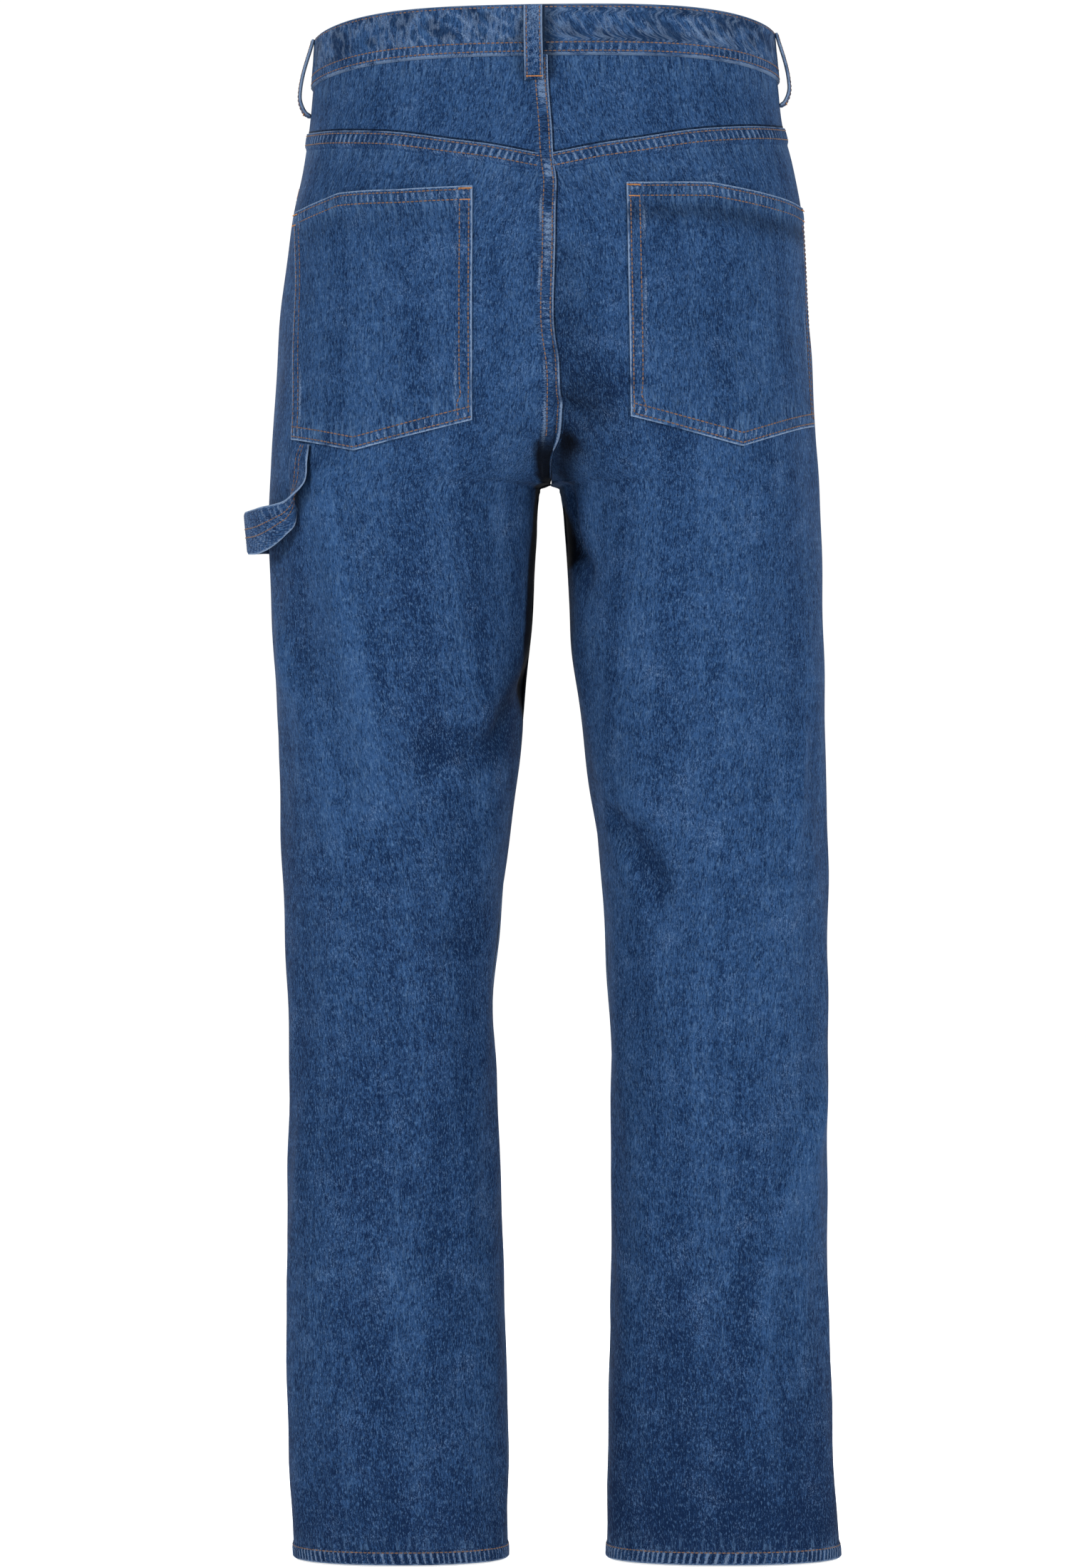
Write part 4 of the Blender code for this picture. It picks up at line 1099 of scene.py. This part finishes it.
for name, side, angle, top, bottom, clear in LOOPS:
    middle = np.full(LOOP_POINTS, math.radians(angle))
    share = np.linspace(0, 1, LOOP_POINTS)
    level = top + (bottom - top) * share
    up = np.sin(math.pi / 2 * np.clip(share / 0.70, 0, 1)) ** 1.2
    rise = np.where(share < 0.70, up, np.sqrt(np.clip(1 - ((share - 0.70) / 0.28) ** 2, 0, 1)))
    lift = 0.0025 - 0.0014 * ease(share, 0.76, 1.0) + clear * 1.15 * rise
    sideways = ring(side, middle[0] + 0.01, -0.01) - ring(side, middle[0] - 0.01, -0.01)
    sideways = sideways / np.linalg.norm(sideways) * 0.0065
    spine = garment(side, middle, level) + normal(side, middle, level) * lift[:, None]
    strip(name, spine - sideways * side, spine + sideways * side, 0.0023, 0.2, 0.35, ["waistband"])

# The strap starts at the pocket's corner and ends on the side seam; between them it keeps clear of the leg
edges = np.stack([column(STRAP, name, STRAP_COLUMNS) for name in STRAP_COLUMNS], 1)
upper, lower = edges[:, :3].copy(), edges[:, 3:].copy()
for edge, x, level, end_level in ((upper, 0.1629, -0.2790, -0.3212), (lower, 0.1713, -0.2772, -0.3510)):
    edge[0] = garment(1, angle_of(1, x, level), level, 0.0018)
    edge[-1] = garment(1, math.radians(-11.0), end_level, 0.0019)
    edge[-2] = garment(1, math.radians(-6.0), end_level, 0.0045)
    for row in range(1, len(edge) - 2):
        round_it = angle_of(1, edge[row, 0], edge[row, 2])
        off = normal(1, round_it, edge[row, 2])
        near = (edge[row] - garment(1, round_it, edge[row, 2])) @ off
        edge[row] += off * max(0.0, 0.0024 - near)
upper, lower = along_curve(upper, STRAP_POINTS), along_curve(lower, STRAP_POINTS)
strip("hammer_loop", upper, lower, 0.0020, 0.8, 0.15, ["back_left", "front_left"])

# %% [markdown]
# ## Fly and button
# Nothing of the front shows in the photograph. It gets what such jeans must have: a fly flap on the
# wearer's left, sewn in a J, and one metal button on the waistband.

# %% Fly flap
FLY_WIDTH = 0.038
FLY_DEPTH = 0.168


def fly_line(across, t, narrowing):
    """Angle and level of points on the fly, `across` metres from the centre front: its lower part closes
    along an ellipse, which gives the J."""
    x = 0.0005 + across * np.sqrt(np.clip(1 - np.clip((t - 0.78) / 0.22, 0, 1) ** 2 * narrowing, 0, 1))
    level = WAIST_BOTTOM - 0.0006 - FLY_DEPTH * t + 0.022 * (across / FLY_WIDTH) ** 2 * ease(t, 0.7, 1.0)
    return -angle_of(1, x + body("centre", level), level), level


s, t = np.meshgrid(np.linspace(0, 1, 30), np.linspace(0, 1, 90))
angle, level = fly_line(FLY_WIDTH * s, t, 0.90)
outer, inner = garment(1, angle, level, 0.0014), garment(1, angle, level, 0.0003)
over = run_length(outer, 1)
marks = flat_marks(outer, edge=np.minimum(over, over[:, -1:] - over), worn=0.8)
cloth("fly_shield", outer, inner, DENIM, marks, ["front_left"])

# %% Button
# Radius and height above the band of its profile, from its foot to its middle
BUTTON = (
    (0.0036, 0.0010), (0.0036, 0.0026), (0.0080, 0.0028), (0.0086, 0.0033), (0.0086, 0.0039),
    (0.0080, 0.0045), (0.0068, 0.0047), (0.0062, 0.0043), (0.0040, 0.0043), (0.0024, 0.0046),
    (0.0001, 0.0047),
)
BUTTON_SIDES = 48
metal, shader, v = paint("aged_copper")
grime = v.noise(v.object_place(), 420.0, 4.0, 0.6)
colour = v.blend(grime.between(0.35, 0.7), (0.19, 0.085, 0.04, 1), (0.52, 0.27, 0.13, 1))
finish_paint(shader, colour, grime, 0.25, 0.0002, 0.38)
shader.inputs["Metallic"].default_value = 1.0
angle = -math.pi / 2 + 0.10
seat = garment(1, angle, 0.0)
out = normal(1, np.array(angle), np.array(0.0))
across = np.cross(out, [0.0, 0.0, 1.0])
across = across / np.linalg.norm(across)
up = np.cross(across, out)
turns = np.linspace(0, math.tau, BUTTON_SIDES, endpoint=False)
circle = np.cos(turns)[:, None] * across + np.sin(turns)[:, None] * up
points = np.concatenate([seat + circle * radius + out * height for radius, height in BUTTON])
quads = grid_quads(np.arange(len(points)).reshape(-1, BUTTON_SIDES), closed=True)[:, ::-1]
face = points[quads]
if (np.cross(face[:, 1] - face[:, 0], face[:, 2] - face[:, 0]) * (face.mean(1) - seat)).sum() < 0:
    quads = quads[:, ::-1]
zero = np.zeros(len(points))
button = mesh_from("metal_button", points, quads, metal, {"u": zero, "v": zero}, smooth_angle=35.0)
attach(button, "root")
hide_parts("waist_button")
print("button:", len(quads), "quads")

# %% [markdown]
# ## Topstitching
# Real topstitch is thick tan thread, a stitch every 3.2 mm, that dips into the cloth at both ends. Each
# stitch is a small spindle of 24 triangles laid along its row, and all stitches are one mesh. A short dense
# bar, the bartack, is the same spindle laid across, in brighter thread that the wash hasn't reached.

# %% Stitches
CORNERS = [(math.cos(a), math.sin(a)) for a in np.arange(4) * math.pi / 2]
SPINDLE = np.array(
    [(0, 0, -0.3)]
    + [(0.22, c, s) for c, s in CORNERS]
    + [(0.50, 1.15 * c, 1.15 * s + 0.35) for c, s in CORNERS]
    + [(0.78, c, s) for c, s in CORNERS]
    + [(1.0, 0, -0.3)]
)
TURNS = [(k, (k + 1) % 4) for k in range(4)]
SPINDLE_TRIANGLES = np.array(
    [(0, 1 + after, 1 + k) for k, after in TURNS]
    + [(a + k, a + after, a + 4 + after) for a in (1, 5) for k, after in TURNS]
    + [(9 + k, 9 + after, 13) for k, after in TURNS]
    + [(a + k, a + 4 + after, a + 4 + k) for a in (1, 5) for k, after in TURNS]
)
PITCH, STITCH, THREAD = 0.0032, 0.0030, 0.00040
rng = np.random.default_rng(11)
ROWS = []


def read_line(at, length, values):
    return np.stack([np.interp(at, length, values[:, k]) for k in range(3)], -1)


def sew(points, out, pitch=PITCH, stitch=STITCH, thread=THREAD):
    """Adds a row: stitches of one length along a line of points, each turned to the cloth's outward
    direction."""
    length = run_length(points, 0)
    start = np.arange(0.0006, length[-1] - stitch, pitch)
    first, last = read_line(start, length, points), read_line(start + stitch, length, points)
    up = read_line(start, length, out)
    up = up / np.linalg.norm(up, axis=1, keepdims=True)
    along = last - first
    side = np.cross(along, up)
    side = side / np.linalg.norm(side, axis=1, keepdims=True) * thread
    ROWS.append((first, along, side, up * thread * 0.8))


def thread_mesh(name, material):
    """All rows so far as one mesh: origin + along x + side y + up z for every corner of every spindle."""
    origin, along, side, up = (np.concatenate([row[k] for row in ROWS])[:, None] for k in range(4))
    t = SPINDLE[None]
    points = origin + along * t[..., :1] + side * t[..., 1:2] + up * t[..., 2:]
    stitches, count = points.shape[:2]
    faces = (SPINDLE_TRIANGLES[None] + np.arange(stitches)[:, None, None] * count).reshape(-1, 3)
    first = points[0][SPINDLE_TRIANGLES]
    spin = np.cross(first[:, 1] - first[:, 0], first[:, 2] - first[:, 0])
    if (spin * (first.mean(1) - points[0].mean(0))).sum() < 0:
        faces = faces[:, ::-1]
    zero = np.zeros(stitches * count)
    marks = {"u": zero, "v": zero, "shade": np.repeat(rng.random(stitches), count)}
    made = mesh_from(name, points.reshape(-1, 3), faces, material, marks, smooth_angle=80.0)
    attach(made, "root")
    print(f"{name}: {stitches} stitches, {len(faces)} triangles")
    ROWS.clear()


def thread_paint(name, dark, light):
    made, shader, v = paint(name)
    fray = v.noise(v.object_place(), 900.0, 2.0, 0.5)
    colour = v.blend(v.mark("shade") * 0.75 + fray * 0.25, dark, light)
    finish_paint(shader, colour, fray, 0.3, 0.0002, 0.7)
    return made


TAN = thread_paint("washed_tan_thread", (0.032, 0.017, 0.014, 1), (0.105, 0.050, 0.025, 1))
ORANGE = thread_paint("bright_orange_thread", (0.20, 0.070, 0.012, 1), (0.34, 0.14, 0.030, 1))


def sew_on(side, angle, level, out, ends=slice(None), **thread):
    """A row of stitches along a line on the garment."""
    sew(garment(side, angle, level, out)[ends], normal(side, angle, level)[ends], **thread)


# %% Rows on the panels
for across in BAND_ROWS:
    level = np.linspace(WAIST_BOTTOM - 0.001, -0.273, 300)
    x = rise_fold(level) + across
    sew(rise_place(across, level, RISE_LIFT), back_point(x, level, 0.01) - back_point(x, level, 0.0))
for side in (1, -1):
    share = np.linspace(0.002, 0.995, 200)
    for down in BAND_ROWS:
        sew_on(side, share * math.pi / 2, yoke_level(share) - down, YOKE_LIFT)
    # Waistband: one row under its top edge, two above its seam
    turn = np.linspace(-math.pi / 2, math.pi / 2, 500)
    for level in (WAIST_TOP - 0.0022, *WAIST_ROWS):
        sew_on(side, turn, np.full(500, level), 0.0015)
    turn = np.linspace(0, math.tau, 600)
    turn = np.sort((turn + math.pi) % math.tau - math.pi)
    sew_on(side, turn, np.full(600, HEM_BOTTOM + HEM_ROW), 0.0005)
    mouth = np.linspace(0.0, MOUTH_ANGLE[-1], 120)
    for down in (0.0020, 0.0020 + ROW_APART):
        sew_on(side, -mouth, mouth_at(mouth) - down, 0.0001)

# %% Rows on pockets, loops, strap and fly
for side in (1, -1):
    top, foot = np.array(POCKET_TOP[side]), np.array(POCKET_FOOT[side])
    for inset in POCKET_ROWS:
        # Sides: straight lines from the mouth to the foot, moved in by the inset along the cloth
        for corner, end, inward in ((top[0], foot[0], 1), (top[-1], foot[-1], -1)):
            x, level = (corner + (end - corner) * np.linspace(0, 1, 160)[:, None]).T
            at = angle_of(side, x, level)
            at = at + inward * inset / metres_per_radian(side, at, level)
            sew_on(side, at, level, POCKET_LIFT, slice(2, -2))
        x, level = edge_line(foot, np.linspace(0, 1, 200))
        level = level + inset * 1.03
        sew_on(side, angle_of(side, x, level), level, POCKET_LIFT)
    for inset in POCKET_ROWS:
        s = np.linspace(0.01, 0.99, 200)
        x, level = edge_line(top, s)
        level = level - inset
        sew_on(side, angle_of(side, x, level), level, POCKET_LIFT + 0.0002 + 0.0012 * np.sin(math.pi * s))
for name, *_ in LOOPS:
    middle, out, wall = STRIP_SKIN[name]
    for row in STITCHED_ROWS:
        sew(middle[row] + out[row] * wall * 0.54, out[row], pitch=0.0030, stitch=0.0027, thread=0.00034)
middle, out, wall = STRIP_SKIN["hammer_loop"]
for share in (0.40, 0.60):
    line = middle[0] * (1 - share) + middle[-1] * share
    for face in (1, -1):
        sew(line + face * out[MIDDLE_ROW] * wall * 0.55, face * out[MIDDLE_ROW])
for across in (FLY_WIDTH - 0.002, FLY_WIDTH - 0.002 - ROW_APART):
    sew_on(1, *fly_line(across, np.linspace(0.02, 0.97, 200), 0.95), 0.0016)
thread_mesh("topstitching", TAN)


# %% Bartacks
def tack(side, angle, level, upright, length, out):
    """A bar of close short stitches, `length` long, that lies level or stands upright, with the stitches
    across it."""
    da, dl = (0, 1) if upright else (1, 0)
    speed = metres_per_radian(side, angle, level)
    for step in np.linspace(-0.5, 0.5, int(length / 0.00055)):
        at, height = angle + da * step * length / speed, level + dl * step * length
        ends = np.array([-1.0, 1.0]) * 0.0009
        at, height = at + dl * ends / speed, height - da * ends
        sew_on(side, at, height, out, pitch=1.0, stitch=0.0011, thread=0.00034)


for side in (1, -1):
    for share, inward in ((0, 1), (1, -1)):
        x, level = edge_line(POCKET_TOP[side], share)
        level = level - 0.0016
        at = float(angle_of(side, x, level))
        at = at + inward * 0.0048 / float(metres_per_radian(side, at, level))
        tack(side, at, level, False, 0.0090, 0.0028)
        tack(side, at, level - 0.0074, False, 0.0070, 0.0026)
    tack(side, -float(MOUTH_ANGLE[-1]) + 0.03, WAIST_BOTTOM - 0.004, True, 0.007, 0.0004)
    tack(side, -0.03, -0.0925, True, 0.007, 0.0004)
for name, side, angle, top, bottom, clear in LOOPS:
    tack(side, math.radians(angle), bottom + 0.0018, False, 0.0105, 0.0030 + 0.42 * clear)
tack(1, -math.pi / 2 + 0.02, -0.166, False, 0.007, 0.0018)
thread_mesh("bartacks", ORANGE)

# %% [markdown]
# ## Camera, floor and light
# The camera stands behind the garment at the height of its middle, 4.5 m away, as the photograph's does.
# The light is a bright pale room with a large soft lamp to either side of the back, and two weaker ones for
# the side that the photograph doesn't show.

# %% Camera
METRES_PER_PIXEL = 0.00051
PHOTO_HEIGHT = 2200
DISTANCE = 4.5
EYE_LEVEL = -0.516
camera_data = bpy.data.cameras.new("camera")
camera = place_object("camera", camera_data)
camera.location = (0.001, DISTANCE, EYE_LEVEL)
camera.rotation_euler = (math.pi / 2, 0, math.pi)
camera_data.sensor_fit = "VERTICAL"
camera_data.angle = 2 * math.atan(PHOTO_HEIGHT * METRES_PER_PIXEL / 2 / DISTANCE)
bpy.context.scene.camera = camera


# %% Floor, world and lamps
def glowing(name, points, quads, colour, strength):
    """Part of the white surroundings, which are no piece of the jeans."""
    mesh = bpy.data.meshes.new(name)
    mesh.from_pydata(points, [], quads)
    made, shader, _ = paint(name)
    shader.inputs["Base Color"].default_value = colour
    shader.inputs["Emission Color"].default_value = (1, 1, 1, 1)
    shader.inputs["Emission Strength"].default_value = strength
    mesh.materials.append(made)
    placed = place_object(name, mesh)
    return placed, shader


FLOOR = HEM_BOTTOM - 0.0012
square = [(-9, -9, FLOOR), (9, -9, FLOOR), (9, 9, FLOOR), (-9, 9, FLOOR)]
_, shader = glowing("floor", square, [(0, 1, 2, 3)], (0.86, 0.86, 0.86, 1), 0.70)
shader.inputs["Roughness"].default_value = 0.9

# A white dome that only the camera sees: it whitens the background without lighting the cloth
turn, lean = np.meshgrid(np.linspace(0, math.tau, 33), np.linspace(-math.pi / 2, math.pi / 2, 17))
points = 14 * np.stack([np.cos(lean) * np.cos(turn), np.cos(lean) * np.sin(turn), np.sin(lean)], -1)
quads = grid_quads(np.arange(turn.size).reshape(turn.shape)).tolist()
backdrop, _ = glowing("backdrop", points.reshape(-1, 3), quads, (0, 0, 0, 1), 1.0)
for sight in ("visible_diffuse", "visible_glossy", "visible_shadow", "visible_transmission"):
    setattr(backdrop, sight, False)

world = bpy.data.worlds.new("pale_room")
world.use_nodes = True
world.node_tree.nodes["Background"].inputs["Color"].default_value = (1, 1, 1, 1)
world.node_tree.nodes["Background"].inputs["Strength"].default_value = 0.45
bpy.context.scene.world = world
bpy.context.scene.view_settings.view_transform = "Standard"

# name; place; size in metres; power in watts
LAMPS = (
    ("key", (3.0, 2.9, 1.7), 1.2, 190.0),
    ("fill", (-2.8, 3.0, 1.0), 1.4, 160.0),
    ("front_left", (1.8, -3.0, 1.0), 1.8, 60.0),
    ("front_right", (-2.2, -2.6, 0.6), 1.8, 30.0),
)
for name, place, size, power in LAMPS:
    lamp_data = bpy.data.lights.new(name, "AREA")
    lamp_data.size = size
    lamp_data.energy = power
    lamp = place_object(name, lamp_data)
    lamp.location = place
    aim = Vector((0, 0, -0.5)) - Vector(place)
    lamp.rotation_euler = aim.to_track_quat("-Z", "Y").to_euler()
